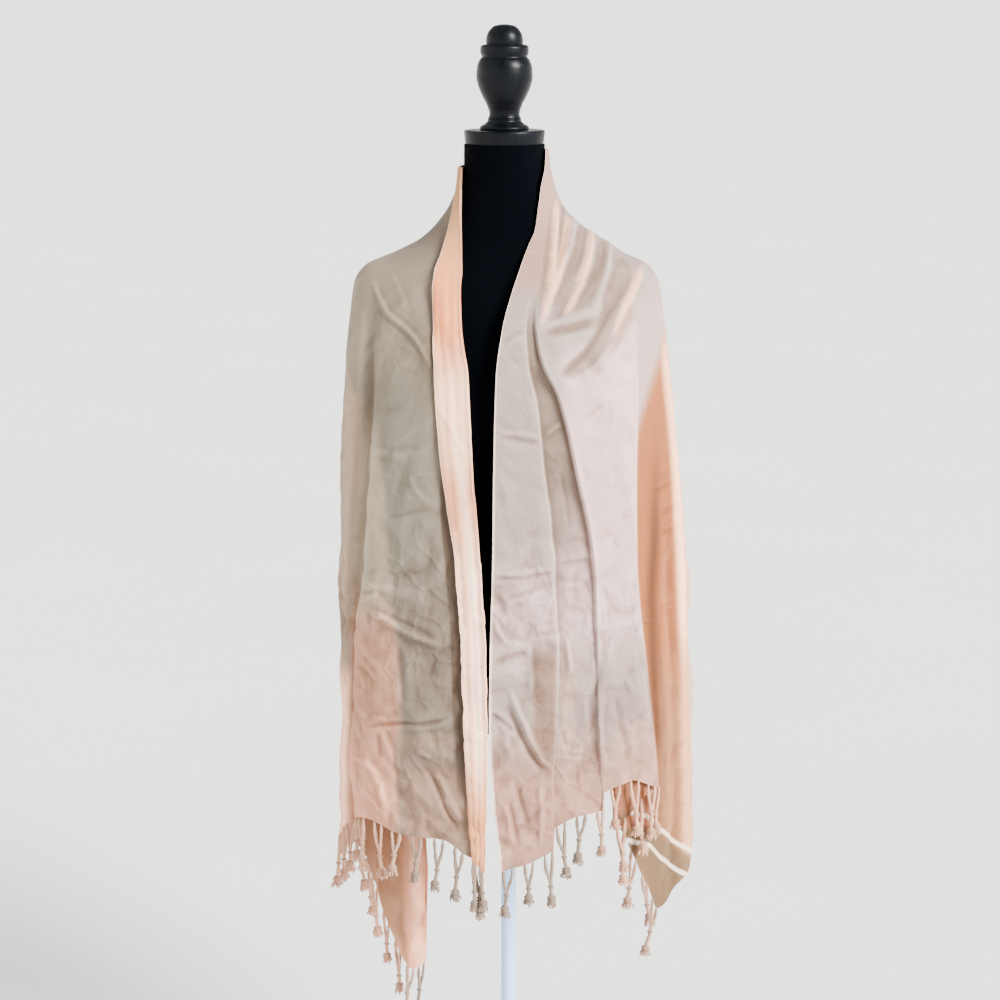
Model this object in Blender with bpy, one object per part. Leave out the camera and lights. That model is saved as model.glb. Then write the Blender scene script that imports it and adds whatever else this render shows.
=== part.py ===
"""A pashmina shawl worn open over a limbless dress form. Metres, +Z up, -Y is the front.

The origin is the centre of the base's underside. Left and right are as seen from the front,
so left is -X. The cloth is worked out as horizontal sections around the neck's axis.
"""
import math

import bpy
import numpy as np

# ---------------------------------------------------------------- driving sizes
CAP_Z = 1.450               # underside of the neck cap
FORM_X = -0.006             # the form sits a little to the left of its pole
WALL = 0.0012               # thickness of the cloth
SEAM = 0.0003               # gap between pieces that meet

TORSO_BOTTOM = 0.713
POLE_R = 0.010
BASE_R = 0.165
BASE_T = 0.012
HUB_R = 0.020
HUB_TOP = 0.040

BAND_LIFT = 0.006           # the turned-back band stands this far off the panel
NECK_LIFT = 0.0036          # and this far where it passes round the neck
NECK_LOW, NECK_HIGH = 1.330, 1.410
BAND_TURN = (75, 30, -15, -60)      # degrees at which columns lie round the band's fold
CORD_R = 0.0011             # half the width of a fringe cord
TUFT_R = 0.0030
CORD_LENGTH = 0.068
# Each row holds, down a cord: share of its length, share of its lean, half its width.
CORD_RINGS = (
    (0.30, 0.2, CORD_R),
    (0.80, 1.0, CORD_R),
    (0.87, 1.0, TUFT_R),
    (1.00, 1.0, 0.8 * TUFT_R),
)
CORD_LEAN = 0.0022          # how far a cord leans along the hem, in turn to each side
CORD_PITCH = 0.0152
STEEP_SHARE = 0.25          # how much of a hem's drop counts towards the pitch of its cords
STRIP_H = 0.0030            # the fringe's backing strip, along the cloth
STRIP_T = 0.0013
STRIP_GAP = 0.00045         # from the cloth's lower edge to the strip

SPLIT_Z = 0.800             # rows are level down to here, then follow the lower edge
SHOULDER_Z = 1.305          # rows are closer together near this height
SHOULDER_SPREAD = 0.050
CLOTH_CLOSER, TORSO_CLOSER = 1.8, 1.2
TOP_ROWS = 16
LOW_ROWS = 5
STEP_Z = 0.004              # height step of the working sections
ARC = 160                   # points of each quarter of a working section
FINE = 6                    # working points for each column of the cloth

# Horizontal sections of the cloth. The inner edges bound the opening at the front, the halves
# are how far the cloth reaches to each side, and n is the superellipse exponent.
SECTION_COLUMNS = ("z", "left_edge", "right_edge", "left_half", "right_half", "front", "back", "n")
SECTIONS = (
    (1.450, -0.0500, 0.0505, 0.0530, 0.0530, 0.0540, 0.0560, 2.0),
    (1.424, -0.0511, 0.0495, 0.0545, 0.0565, 0.0545, 0.0570, 2.0),
    (1.400, -0.0520, 0.0445, 0.0585, 0.0620, 0.0555, 0.0580, 2.0),
    (1.375, -0.0520, 0.0410, 0.0680, 0.0720, 0.0570, 0.0600, 2.0),
    (1.350, -0.0518, 0.0372, 0.0860, 0.0960, 0.0600, 0.0640, 2.0),
    (1.331, -0.0516, 0.0290, 0.1070, 0.1260, 0.0650, 0.0690, 2.1),
    (1.315, -0.0515, 0.0225, 0.1390, 0.1500, 0.0720, 0.0750, 2.2),
    (1.300, -0.0514, 0.0170, 0.1740, 0.1800, 0.0810, 0.0820, 2.3),
    (1.281, -0.0513, 0.0100, 0.1875, 0.1925, 0.0930, 0.0900, 2.4),
    (1.240, -0.0470, -0.0020, 0.1930, 0.2000, 0.1150, 0.1010, 2.5),
    (1.180, -0.0395, -0.0105, 0.1985, 0.2070, 0.1350, 0.1090, 2.6),
    (1.070, -0.0320, -0.0135, 0.2055, 0.2195, 0.1470, 0.1180, 2.7),
    (0.950, -0.0262, -0.0150, 0.2095, 0.2285, 0.1480, 0.1300, 2.7),
    (0.840, -0.0228, -0.0180, 0.2110, 0.2350, 0.1480, 0.1430, 2.7),
    (0.740, -0.0217, -0.0192, 0.2105, 0.2420, 0.1480, 0.1440, 2.7),
    (0.640, -0.0225, -0.0140, 0.2125, 0.2470, 0.1480, 0.1200, 2.6),
    (0.540, -0.0250, -0.0050, 0.2165, 0.2500, 0.1480, 0.0850, 2.5),
    (0.430, -0.0250, -0.0050, 0.2150, 0.2450, 0.1450, 0.0600, 2.4),
    (0.280, -0.0250, -0.0050, 0.2050, 0.2400, 0.1400, 0.0500, 2.3),
)

# Lines that run down the fronts: how far the turned-back band and the right front's pleat
# reach in from their inner edges, and how far from the middle the outer folds lie. Above the
# first height each line keeps its share of the section.
LINE_COLUMNS = ("z", "band", "tray", "pleat", "left_valley", "right_corner", "right_panel")
LINES = (
    (1.300, 0.042, 0.022, 0.028, 0.1500, 0.1690, 0.1500),
    (1.255, 0.044, 0.026, 0.035, 0.1620, 0.1860, 0.1570),
    (1.208, 0.046, 0.035, 0.050, 0.1640, 0.1900, 0.1590),
    (1.152, 0.048, 0.051, 0.078, 0.1640, 0.1930, 0.1620),
    (1.060, 0.047, 0.064, 0.103, 0.1680, 0.1970, 0.1660),
    (0.950, 0.040, 0.077, 0.125, 0.1780, 0.2020, 0.1730),
    (0.800, 0.033, 0.086, 0.135, 0.1950, 0.2080, 0.1860),
    (0.640, 0.026, 0.076, 0.140, 0.2020, 0.2140, 0.1970),
    (0.540, 0.022, 0.070, 0.142, 0.2040, 0.2140, 0.1980),
    (0.280, 0.020, 0.070, 0.142, 0.1950, 0.2140, 0.1980),
)

# Stations along every section, from the left inner edge round the back to the right one, and
# the number of columns from each to the next. share places a station between side and back.
# Each row holds: name, columns, share.
STATIONS = (
    ("left_edge", 3, 0.0),
    ("left_band", 5, 0.0),
    ("left_valley", 4, 0.0),
    ("left_side", 14, 0.0),
    ("left_corner", 10, 0.52),
    ("back", 20, 0.0),
    ("right_side", 5, 0.0),
    ("right_corner", 12, 0.0),
    ("right_panel", 4, 0.0),
    ("pleat_outer", 1, 0.0),
    ("pleat_inner", 2, 0.0),
    ("tray_outer", 1, 0.0),
    ("tray_inner", 2, 0.0),
    ("right_edge", 0, 0.0),
)
CORNER_LEFT, CORNER_RIGHT, PANEL_EDGE = 4, 7, 8     # stations where the cloth changes
TRAY_OUTER, TRAY_INNER = 9, 12

CREASE = 0.004              # width of the step on each side of the right front's pleat
TRAY_DEPTH = 0.009          # the pleat's tray lies this far back
TRAY_TOP, TRAY_GROWN = 1.290, 1.190                 # it deepens between these heights,
TRAY_FLAT_TOP, TRAY_FLAT_LOW = 0.980, 0.730         # then flattens to a quarter
TRAY_FLAT = 0.25
TUCK = 0.056                # the right front's outer fold laps over the side by this much
TUCK_R = 0.004              # radius of its two turns
TUCK_NONE, TUCK_DEEP, TUCK_FULL = 1.300, 1.200, 0.760
TUCK_TURNED = 0.7           # its turns are whole once this share of its width is lapped
TUCK_SHARES = (0.0, 0.25, 0.4167, 0.6667, 0.8333)    # where its turns end, from edge to corner

# Folds that run down the cloth. place is a station number and may lie between two, width is
# half the fold's width, and depth is how far it stands out (in, below zero).
# A fold grows from z_none to z_full and stays to the bottom.
# Each row holds: place_high, place_low, width, depth, z_none, z_full.
FOLDS = (
    (1.95, 1.90, 0.024, -0.016, 1.300, 1.160),
    (3.02, 3.00, 0.030, 0.004, 1.250, 1.000),
    (3.24, 3.28, 0.036, -0.021, 1.270, 0.880),
    (3.50, 3.53, 0.036, 0.018, 1.250, 0.860),
    (3.76, 3.79, 0.036, -0.020, 1.240, 0.840),
    (4.00, 4.05, 0.036, 0.018, 1.250, 0.860),
    (4.26, 4.31, 0.036, -0.018, 1.250, 0.880),
    (4.50, 4.57, 0.038, 0.020, 1.310, 0.900),
    (4.76, 4.82, 0.036, -0.016, 1.280, 0.900),
    (4.98, 5.05, 0.036, 0.018, 1.310, 0.920),
    (5.14, 5.17, 0.036, -0.016, 1.280, 0.880),
    (5.30, 5.30, 0.038, 0.021, 1.310, 0.900),
    (5.46, 5.43, 0.036, -0.018, 1.270, 0.860),
    (5.60, 5.56, 0.038, 0.022, 1.280, 0.860),
    (5.74, 5.69, 0.036, -0.020, 1.240, 0.860),
    (5.85, 5.81, 0.036, 0.019, 1.260, 0.880),
    (5.95, 5.93, 0.030, -0.012, 1.220, 0.900),
    (6.30, 6.25, 0.030, 0.006, 1.220, 0.950),
    (6.62, 6.60, 0.026, -0.010, 1.200, 0.900),
)
FOLD_LOW_Z = 0.600          # a fold has moved to its low place here

# Folds drawn slantwise over a front by the cloth's pull, between two points in x and z.
# Each row holds: x_high, z_high, x_low, z_low, width, depth.
DRAGS = (
    (0.118, 1.316, 0.050, 1.232, 0.014, -0.005),
    (0.165, 1.268, 0.092, 1.172, 0.017, -0.006),
    (-0.105, 1.310, -0.068, 1.180, 0.020, -0.004),
)
DRAG_END = 0.3              # share of its length over which a slanting fold fades out

# Upper and lower edges of the cloth. Each pair holds a station and its height.
TOP_EDGE = ((0.0, 1.424), (3.0, 1.432), (5.0, 1.437), (6.0, 1.441), (13.0, 1.446))
LOW_EDGE = (
    (0.00, 0.548), (0.30, 0.562), (1.00, 0.585), (1.50, 0.590), (1.75, 0.604), (2.00, 0.594),
    (2.50, 0.568), (3.00, 0.532), (3.25, 0.500), (3.48, 0.445), (3.60, 0.380), (3.70, 0.338),
    (3.80, 0.322), (4.00, 0.314), (4.10, 0.470), (4.20, 0.600), (4.40, 0.700), (4.60, 0.740),
    (5.00, 0.772), (5.25, 0.752), (5.50, 0.690), (5.75, 0.605), (6.00, 0.512), (6.50, 0.485),
    (7.00, 0.462), (7.17, 0.500), (7.25, 0.550), (7.33, 0.596), (7.58, 0.602), (7.75, 0.640),
    (8.00, 0.645), (8.50, 0.662), (9.00, 0.650), (10.0, 0.624), (10.5, 0.620), (11.0, 0.604),
    (12.0, 0.574), (12.5, 0.556), (13.0, 0.545),
)

# The torso's horizontal sections.
TORSO_COLUMNS = ("z", "half", "front", "back", "n")
TORSO = (
    (1.4497, 0.0500, 0.0500, 0.0500, 2.0),
    (1.400, 0.0505, 0.0510, 0.0510, 2.0),
    (1.375, 0.0600, 0.0530, 0.0530, 2.0),
    (1.350, 0.0780, 0.0560, 0.0570, 2.0),
    (1.331, 0.1038, 0.0598, 0.0628, 2.0),
    (1.315, 0.1352, 0.0647, 0.0687, 2.1),
    (1.300, 0.1650, 0.0720, 0.0740, 2.2),
    (1.281, 0.1780, 0.0820, 0.0820, 2.3),
    (1.240, 0.1800, 0.0980, 0.0900, 2.4),
    (1.180, 0.1720, 0.1150, 0.0950, 2.4),
    (1.090, 0.1560, 0.1260, 0.0960, 2.4),
    (1.000, 0.1350, 0.1120, 0.0860, 2.3),
    (0.900, 0.1190, 0.0900, 0.0780, 2.2),
    (0.820, 0.1400, 0.0960, 0.0980, 2.3),
    (0.750, 0.1620, 0.1010, 0.1130, 2.3),
    (0.713, 0.1600, 0.1000, 0.1120, 2.3),
)
TORSO_SIDES = 36
TORSO_ROWS = 22

# The finial's turned profile, from the cap up. Each pair holds a radius and a height.
FINIAL = (
    (0.0300, 1.4672), (0.0305, 1.4700), (0.0240, 1.4745), (0.0205, 1.4790), (0.0210, 1.4805),
    (0.0195, 1.4822), (0.0188, 1.4870), (0.0215, 1.4960), (0.0275, 1.5080), (0.0325, 1.5200),
    (0.0347, 1.5310), (0.0340, 1.5420), (0.0308, 1.5510), (0.0278, 1.5550), (0.0290, 1.5575),
    (0.0298, 1.5610), (0.0296, 1.5660), (0.0272, 1.5688), (0.0226, 1.5700), (0.0228, 1.5730),
    (0.0218, 1.5800), (0.0180, 1.5870), (0.0115, 1.5920), (0.0015, 1.5936),
)
# The neck cap's and the base's profiles, from the top down, in the same way.
NECK_CAP = (
    (0.0480, 1.4668), (0.0498, 1.4660), (0.0500, 1.4645), (0.0488, 1.4520), (0.0480, CAP_Z),
)
BASE = (
    (HUB_R - 0.002, HUB_TOP), (HUB_R, HUB_TOP - 0.002), (HUB_R, BASE_T), (0.060, BASE_T),
    (BASE_R - 0.004, BASE_T - 0.003), (BASE_R, BASE_T - 0.006), (BASE_R, 0.001),
    (BASE_R - 0.001, 0.0),
)
ROUND_SIDES = 28
POLE_SIDES = 24

CLOTH_COLOUR = (0.86, 0.70, 0.58)
JERSEY_COLOUR = (0.006, 0.006, 0.007)
SATIN_COLOUR = (0.012, 0.012, 0.013)
ENAMEL_COLOUR = (0.80, 0.86, 0.93)


# ---------------------------------------------------------------- small helpers
def smooth(t):
    """Ease from 0 to 1."""
    t = np.clip(t, 0.0, 1.0)
    return t * t * (3.0 - 2.0 * t)


def glide(xs, ys, x):
    """Smooth curve through the points (xs, ys), with no overshoot, read at x."""
    xs, ys = np.asarray(xs, float), np.asarray(ys, float)
    if xs[0] > xs[-1]:
        xs, ys = xs[::-1], ys[::-1]
    step = np.diff(xs)
    rise = np.diff(ys) / step
    slope = np.empty(len(xs))
    slope[0], slope[-1] = rise[0], rise[-1]
    before, after = rise[:-1], rise[1:]
    same = before * after > 0
    total = np.where(same, before + after, 1.0)
    slope[1:-1] = np.where(same, 2.0 * before * after / total, 0.0)
    x = np.clip(x, xs[0], xs[-1])
    i = np.clip(np.searchsorted(xs, x, side="right") - 1, 0, len(step) - 1)
    t = (x - xs[i]) / step[i]
    h = step[i]
    return (ys[i] * (1 + 2 * t) * (1 - t) ** 2 + ys[i + 1] * t * t * (3 - 2 * t)
            + h * slope[i] * t * (1 - t) ** 2 - h * slope[i + 1] * t * t * (1 - t))


def column(rows, columns, name):
    at = columns.index(name)
    return [row[at] for row in rows]


def at_height(rows, columns, name, z):
    """A table's column read at the height z."""
    return glide(column(rows, columns, "z"), column(rows, columns, name), z)


def unit(vectors):
    return vectors / np.maximum(np.linalg.norm(vectors, axis=-1, keepdims=True), 1e-12)


def squircle(angle, half, depth, n):
    """Points of a superellipse quarter or half, by angle from the front or back middle."""
    sine, cosine = np.sin(angle), np.abs(np.cos(angle))
    return np.sign(sine) * half * np.abs(sine) ** (2 / n), depth * cosine ** (2 / n)


# ---------------------------------------------------------------- the cloth's surface
def base_section(z):
    """The unfolded section at the height z: points, their distances, and the stations'."""
    xs, ys, far = section_points(z)
    highest = LINES[0][0]
    if z > highest:
        top = section_points(highest)
        return xs, ys, far, station_stops(highest, *top) * far[-1] / top[2][-1]
    return xs, ys, far, station_stops(z, xs, ys, far)


def section_points(z):
    value = {name: float(at_height(SECTIONS, SECTION_COLUMNS, name, z)) for name in SECTION_COLUMNS}
    n, quarter = value["n"], math.pi / 2
    runs = []
    for side, half, edge in ((-1, value["left_half"], -value["left_edge"]),
                             (1, value["right_half"], value["right_edge"])):
        share = edge / half
        start = math.asin(math.copysign(abs(share) ** (n / 2), share))
        x, y = squircle(np.linspace(start, quarter, ARC), half, -value["front"], n)
        back_x, back_y = squircle(np.linspace(quarter, 0.0, ARC), half, value["back"], n)
        runs.append((side * np.append(x, back_x[1:]), np.append(y, back_y[1:])))
    (left_x, left_y), (right_x, right_y) = runs
    xs = np.concatenate([left_x, right_x[::-1][1:]])
    ys = np.concatenate([left_y, right_y[::-1][1:]])
    far = np.concatenate([[0.0], np.cumsum(np.hypot(np.diff(xs), np.diff(ys)))])
    return xs, ys, far


def station_stops(z, xs, ys, far):
    """Distances of the stations along the section at the height z."""
    line = {name: float(at_height(LINES, LINE_COLUMNS, name, z)) for name in LINE_COLUMNS}
    left_side, back, right_side = far[ARC - 1], far[2 * ARC - 2], far[3 * ARC - 3]
    total = far[-1]

    def front_at(x, side):
        """Distance of the point of a front that lies x from the middle."""
        if side < 0:
            return float(np.interp(x, -xs[:ARC], far[:ARC]))
        return float(np.interp(-x, -xs[3 * ARC - 3:], far[3 * ARC - 3:]))

    corner = dict((row[0], row[2]) for row in STATIONS)["left_corner"]
    stops = {
        "left_edge": 0.0,
        "left_band": line["band"],
        "left_valley": front_at(line["left_valley"], -1),
        "left_side": left_side,
        "left_corner": left_side + corner * (back - left_side),
        "back": back,
        "right_side": right_side,
        "right_corner": front_at(line["right_corner"], 1),
        "right_panel": front_at(line["right_panel"], 1),
        "pleat_outer": total - line["pleat"] - CREASE / 2,
        "pleat_inner": total - line["pleat"] + CREASE / 2,
        "tray_outer": total - line["tray"] - CREASE / 2,
        "tray_inner": total - line["tray"] + CREASE / 2,
        "right_edge": total,
    }
    return np.array([stops[row[0]] for row in STATIONS])


def column_places():
    """The station number of every working column."""
    places = [np.array([0.0])]
    for number, (_, count, _) in enumerate(STATIONS[:-1]):
        places.append(number + np.arange(1, count * FINE + 1) / (count * FINE))
    return np.concatenate(places)


def fold_push(far, stops, z):
    """How far every point of a section is pushed out by the folds that run down the cloth."""
    push = np.zeros_like(far)
    for high, low, width, depth, z_none, z_full in FOLDS:
        grown = smooth((z_none - z) / (z_none - z_full))
        place = high + (low - high) * smooth((z_none - z) / (z_none - FOLD_LOW_Z))
        middle = np.interp(place, np.arange(len(stops)), stops)
        near = np.clip(np.abs(far - middle) / width, 0.0, 1.0)
        push += depth * grown * 0.5 * (1.0 + np.cos(math.pi * near))
    return push


def tray_push(places, z):
    """The pleat's tray on the right front, which lies back from the cloth on each side."""
    inside = np.minimum(smooth(places - TRAY_OUTER), smooth(TRAY_INNER - places))
    grown = smooth((TRAY_TOP - z) / (TRAY_TOP - TRAY_GROWN))
    flattened = smooth((TRAY_FLAT_TOP - z) / (TRAY_FLAT_TOP - TRAY_FLAT_LOW))
    return -TRAY_DEPTH * grown * (1.0 - (1.0 - TRAY_FLAT) * flattened) * inside


def drag_push(x, y, z):
    """The slanting folds of the fronts."""
    push = np.zeros_like(x)
    for x_high, z_high, x_low, z_low, width, depth in DRAGS:
        run_x, run_z = x_low - x_high, z_low - z_high
        length = math.hypot(run_x, run_z)
        along = ((x - x_high) * run_x + (z - z_high) * run_z) / length ** 2
        across = np.abs((x - x_high) * run_z - (z - z_high) * run_x) / length
        body = 0.5 * (1.0 + np.cos(math.pi * np.clip(across / width, 0.0, 1.0)))
        ends = smooth(along / DRAG_END) * smooth((1.0 - along) / DRAG_END)
        push += np.where(y < 0.0, depth * body * ends, 0.0)
    return push


def tuck_path(t):
    """The lapped fold beside the right front, for t from 0 at its edge to 1 where it ends.

    Gives how far in (towards the front's middle) and how far back the cloth lies.
    """
    turn = math.pi * TUCK_R
    ends = (0.0, turn, turn + TUCK, 2 * turn + TUCK, 2 * turn + 2 * TUCK)
    far = np.interp(t, TUCK_SHARES, ends)
    first = np.clip(far / TUCK_R, 0.0, math.pi)
    inward = np.clip(far - ends[1], 0.0, TUCK)
    second = np.clip((far - ends[2]) / TUCK_R, 0.0, math.pi)
    outward = np.clip(far - ends[3], 0.0, TUCK)
    reach = inward - outward + TUCK_R * (np.sin(second) - np.sin(first))
    depth = TUCK_R * (2.0 - np.cos(first) - np.cos(second))
    return reach, depth


def tuck_shift(places, stops, z):
    """Sideways and inward shifts that lap the side's cloth behind the right front's edge.

    Where the lap begins the cloth steps back evenly; the two turns form as the lap widens.
    """
    t = np.clip(PANEL_EDGE - places, 0.0, 1.0)
    lapped = smooth((TUCK_DEEP - z) / (TUCK_DEEP - TUCK_FULL))
    turned = smooth(lapped / TUCK_TURNED)
    sunk = smooth((TUCK_NONE - z) / (TUCK_NONE - TUCK_DEEP))
    width = stops[PANEL_EDGE] - stops[CORNER_RIGHT]
    reach, depth = tuck_path(t)
    even = 4.0 * TUCK_R * np.clip(t / TUCK_SHARES[-1], 0.0, 1.0)
    depth = even + (depth - even) * turned
    beyond = np.clip((t - TUCK_SHARES[-1]) / (1.0 - TUCK_SHARES[-1]), 0.0, 1.0) * width
    between = (places > CORNER_RIGHT) & (places < PANEL_EDGE)
    sideways = np.where(between, reach - beyond + t * width, 0.0)
    side = 1.0 - smooth(CORNER_RIGHT - places)
    back = np.where(places < PANEL_EDGE, depth * side, 0.0)
    return lapped * sideways, -sunk * back


def cloth_surface():
    """Middle surface of the cloth on a fine grid: heights, places, points and normals."""
    heights = np.arange(SECTIONS[0][0], SECTIONS[-1][0] - 1e-9, -STEP_Z)
    places = column_places()
    points = np.zeros((len(places), len(heights), 3))
    for row, z in enumerate(heights):
        xs, ys, far, stops = base_section(z)
        lap, sunk = tuck_shift(places, stops, z)
        where = np.interp(places, np.arange(len(stops)), stops) + lap
        x, y = np.interp(where, far, xs), np.interp(where, far, ys)
        dx, dy = np.interp(where, far, np.gradient(xs, far)), np.interp(where, far, np.gradient(ys, far))
        size = np.hypot(dx, dy)
        push = fold_push(where, stops, z) + tray_push(places, z) + drag_push(x, y, z) + sunk
        points[:, row, 0] = x - dy / size * push
        points[:, row, 1] = y + dx / size * push
        points[:, row, 2] = z
    along = unit(np.gradient(points, axis=0))
    down = unit(np.gradient(points, axis=1))
    return heights, places, points, unit(np.cross(along, down)), along


def closer(z, extra):
    """How much closer together rows lie at the height z than far from the shoulder."""
    return 1.0 + extra * np.exp(-((z - SHOULDER_Z) / SHOULDER_SPREAD) ** 2)


def row_heights(heights, points, z_top, z_low):
    """Heights of a column's rows, closer together over the shoulder."""
    step = np.linalg.norm(np.diff(points, axis=0), axis=1)
    step = step * closer(0.5 * (heights[1:] + heights[:-1]), CLOTH_CLOSER)
    far = np.concatenate([[0.0], np.cumsum(step)])
    first, last = np.interp([-z_top, -SPLIT_Z], -heights, far)
    upper = np.interp(np.linspace(first, last, TOP_ROWS + 1), far, heights)
    lower = np.linspace(SPLIT_Z, z_low, LOW_ROWS + 1)[1:]
    return np.concatenate([upper, lower])


def read_column(surface, place, shift=0.0):
    """One column of the cloth: its rows' middle points, normals and sideways directions."""
    heights, places, points, normals, along = surface
    k = int(np.argmin(np.abs(places - place)))
    z_top = glide(*zip(*TOP_EDGE), place)
    z_low = glide(*zip(*LOW_EDGE), place)
    rows = row_heights(heights, points[k], z_top, z_low)

    def read(values):
        return np.stack([np.interp(-rows, -heights, values[k, :, axis]) for axis in range(3)], -1)

    middle, normal, sideways = read(points), unit(read(normals)), unit(read(along))
    return middle + shift * sideways, normal, sideways


def stretch(surface, first, last):
    """The cloth's columns from one station to another, held back half a seam at each end."""
    places = [float(first)]
    for number in range(first, last):
        count = STATIONS[number][1]
        places += [number + (i + 1) / count for i in range(count)]
    ends = {0: 0.0, len(STATIONS) - 1: 0.0}
    columns = []
    for place in places:
        shift = 0.0
        if place == first:
            shift = ends.get(first, SEAM / 2)
        if place == last:
            shift = ends.get(last, -SEAM / 2)
        columns.append(read_column(surface, place, shift))
    middle, normal, sideways = (np.stack(part) for part in zip(*columns))
    normal[1:-1] = grid_normals(middle)[1:-1]
    return middle, normal, sideways


def grid_normals(middle):
    """Normals that halve the turn at every column and row of a grid of points."""
    def halved(axis):
        run = unit(np.diff(middle, axis=axis))
        first, last = np.take(run, [0], axis), np.take(run, [-1], axis)
        return unit(np.concatenate([first, run], axis) + np.concatenate([run, last], axis))

    return unit(np.cross(halved(0), halved(1)))


def band_lift(points):
    """How far the turned-back band stands off the panel, for each row of a column."""
    high = smooth((points[:, 2:] - NECK_LOW) / (NECK_HIGH - NECK_LOW))
    return BAND_LIFT + (NECK_LIFT - BAND_LIFT) * high


def turned_band(middle, normal, sideways):
    """Columns of the band that is folded back on the left front, made from the panel's own."""
    count = STATIONS[0][1]
    half = band_lift(middle[0]) / 2
    points, facings = [], []
    for i in range(count, 0, -1):
        points.append(middle[i] + normal[i] * band_lift(middle[i]))
        facings.append(-normal[i])
    centre = middle[0] + sideways[0] * half + normal[0] * half
    for angle in BAND_TURN:
        turn = math.radians(angle)
        points.append(centre + half * (normal[0] * math.sin(turn) - sideways[0] * math.cos(turn)))
        facings.append(-normal[0] * math.sin(turn) + sideways[0] * math.cos(turn))
    points = np.concatenate([np.stack(points), middle[1:]])
    facings = np.concatenate([np.stack(facings), normal[1:]])
    return points, unit(facings)


# ---------------------------------------------------------------- meshes
def add_object(name, points, faces, material, sharp=40.0, shift=0.0):
    mesh = bpy.data.meshes.new(name)
    mesh.from_pydata([tuple(map(float, point)) for point in points], [], faces)
    mesh.update()
    mesh.shade_smooth()
    mesh.set_sharp_from_angle(angle=math.radians(sharp))
    mesh.materials.append(material)
    item = bpy.data.objects.new(name, mesh)
    item.location.x = shift
    bpy.context.scene.collection.objects.link(item)
    return item


def make_material(name, colour, roughness, metallic=0.0):
    material = bpy.data.materials.new(name)
    material.use_nodes = True
    shader = material.node_tree.nodes["Principled BSDF"]
    shader.inputs["Base Color"].default_value = (*colour, 1.0)
    shader.inputs["Roughness"].default_value = roughness
    shader.inputs["Metallic"].default_value = metallic
    return material


def split(a, b, c, d):
    """Two triangles for a quad."""
    return [(a, b, c), (a, c, d)]


def add_wall(name, middle, normal, material):
    """A cloth wall around a grid of middle points, closed along its four edges."""
    columns, rows = middle.shape[:2]
    outer = (middle + normal * WALL / 2).reshape(-1, 3)
    inner = (middle - normal * WALL / 2).reshape(-1, 3)
    total = columns * rows

    def out(c, r):
        return c * rows + r

    def back(c, r):
        return total + c * rows + r

    faces = []
    for c in range(columns - 1):
        for r in range(rows - 1):
            faces += split(out(c, r), out(c + 1, r), out(c + 1, r + 1), out(c, r + 1))
            faces += split(back(c, r), back(c, r + 1), back(c + 1, r + 1), back(c + 1, r))
    low = rows - 1
    for c in range(columns - 1):
        faces += split(out(c + 1, 0), out(c, 0), back(c, 0), back(c + 1, 0))
        quad = (out(c, low), out(c + 1, low), back(c + 1, low), back(c, low))
        up = middle[c, low - 1] - middle[c, low]
        if np.dot(normal[c, low] - normal[c + 1, low], up) < 0:    # bulge away from the fringe
            quad = quad[1:] + quad[:1]
        faces += split(*quad)
    for r in range(rows - 1):
        faces += split(out(0, r), out(0, r + 1), back(0, r + 1), back(0, r))
        c = columns - 1
        faces += split(out(c, r + 1), out(c, r), back(c, r), back(c, r + 1))
    return add_object(name, np.concatenate([outer, inner]), faces, material, shift=FORM_X)


def add_rings(name, rings, material, sharp=40.0, shift=0.0):
    """A closed solid through rings of equal size, from top to bottom, with flat end caps."""
    sides = len(rings[0])
    points = [point for ring in rings for point in ring]
    faces = [tuple(range(sides)), tuple(reversed(range(len(points) - sides, len(points))))]
    for row in range(len(rings) - 1):
        for i in range(sides):
            j = (i + 1) % sides
            a, b = row * sides, (row + 1) * sides
            faces += split(a + i, b + i, b + j, a + j)
    return add_object(name, points, faces, material, sharp, shift)


def circle(radius, z, sides=ROUND_SIDES):
    turn = 2 * math.pi / sides
    return [(radius * math.cos(i * turn), radius * math.sin(i * turn), z) for i in range(sides)]


# ---------------------------------------------------------------- the fringe
def hem_frame(middle, normal):
    """The lower edge of a stretch: points, normals, and the way the cloth would go on.

    The way on is mitred at the edge's corners, so that a strip along it has an even width.
    """
    points, normals = middle[:, -1], normal[:, -1]
    run = unit(np.diff(points, axis=0))
    on = unit(np.cross(run, unit(normals[1:] + normals[:-1])))
    on = on * np.sign(on @ np.array([0.0, 0.0, -1.0]))[:, None]
    before, after = np.vstack([on[:1], on]), np.vstack([on, on[-1:]])
    onward = unit(before + after)
    mitre = np.sum(onward * before, axis=1, keepdims=True)
    return points, normals, onward / np.maximum(mitre, 0.5)


def cord_stops(points, far, keep_off):
    """Places of the cords along a hem, wider apart where it is steep, and off its own points."""
    steps = np.abs(np.diff(points, axis=0))
    spread = np.hypot(steps[:, 0], steps[:, 1]) + STEEP_SHARE * steps[:, 2]
    spread = np.concatenate([[0.0], np.cumsum(spread)])
    first, last = np.interp([keep_off, far[-1] - keep_off], far, spread)
    count = max(2, int(round((last - first) / CORD_PITCH)) + 1)
    stops = []
    for place in np.interp(np.linspace(first, last, count), spread, far):
        nearest = far[int(np.argmin(np.abs(far - place)))]
        gap = place - nearest
        if abs(gap) < 2.2 * CORD_R:
            place = nearest + math.copysign(2.2 * CORD_R, gap if gap else 1.0)
        stops.append(float(place))
    return stops


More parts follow.
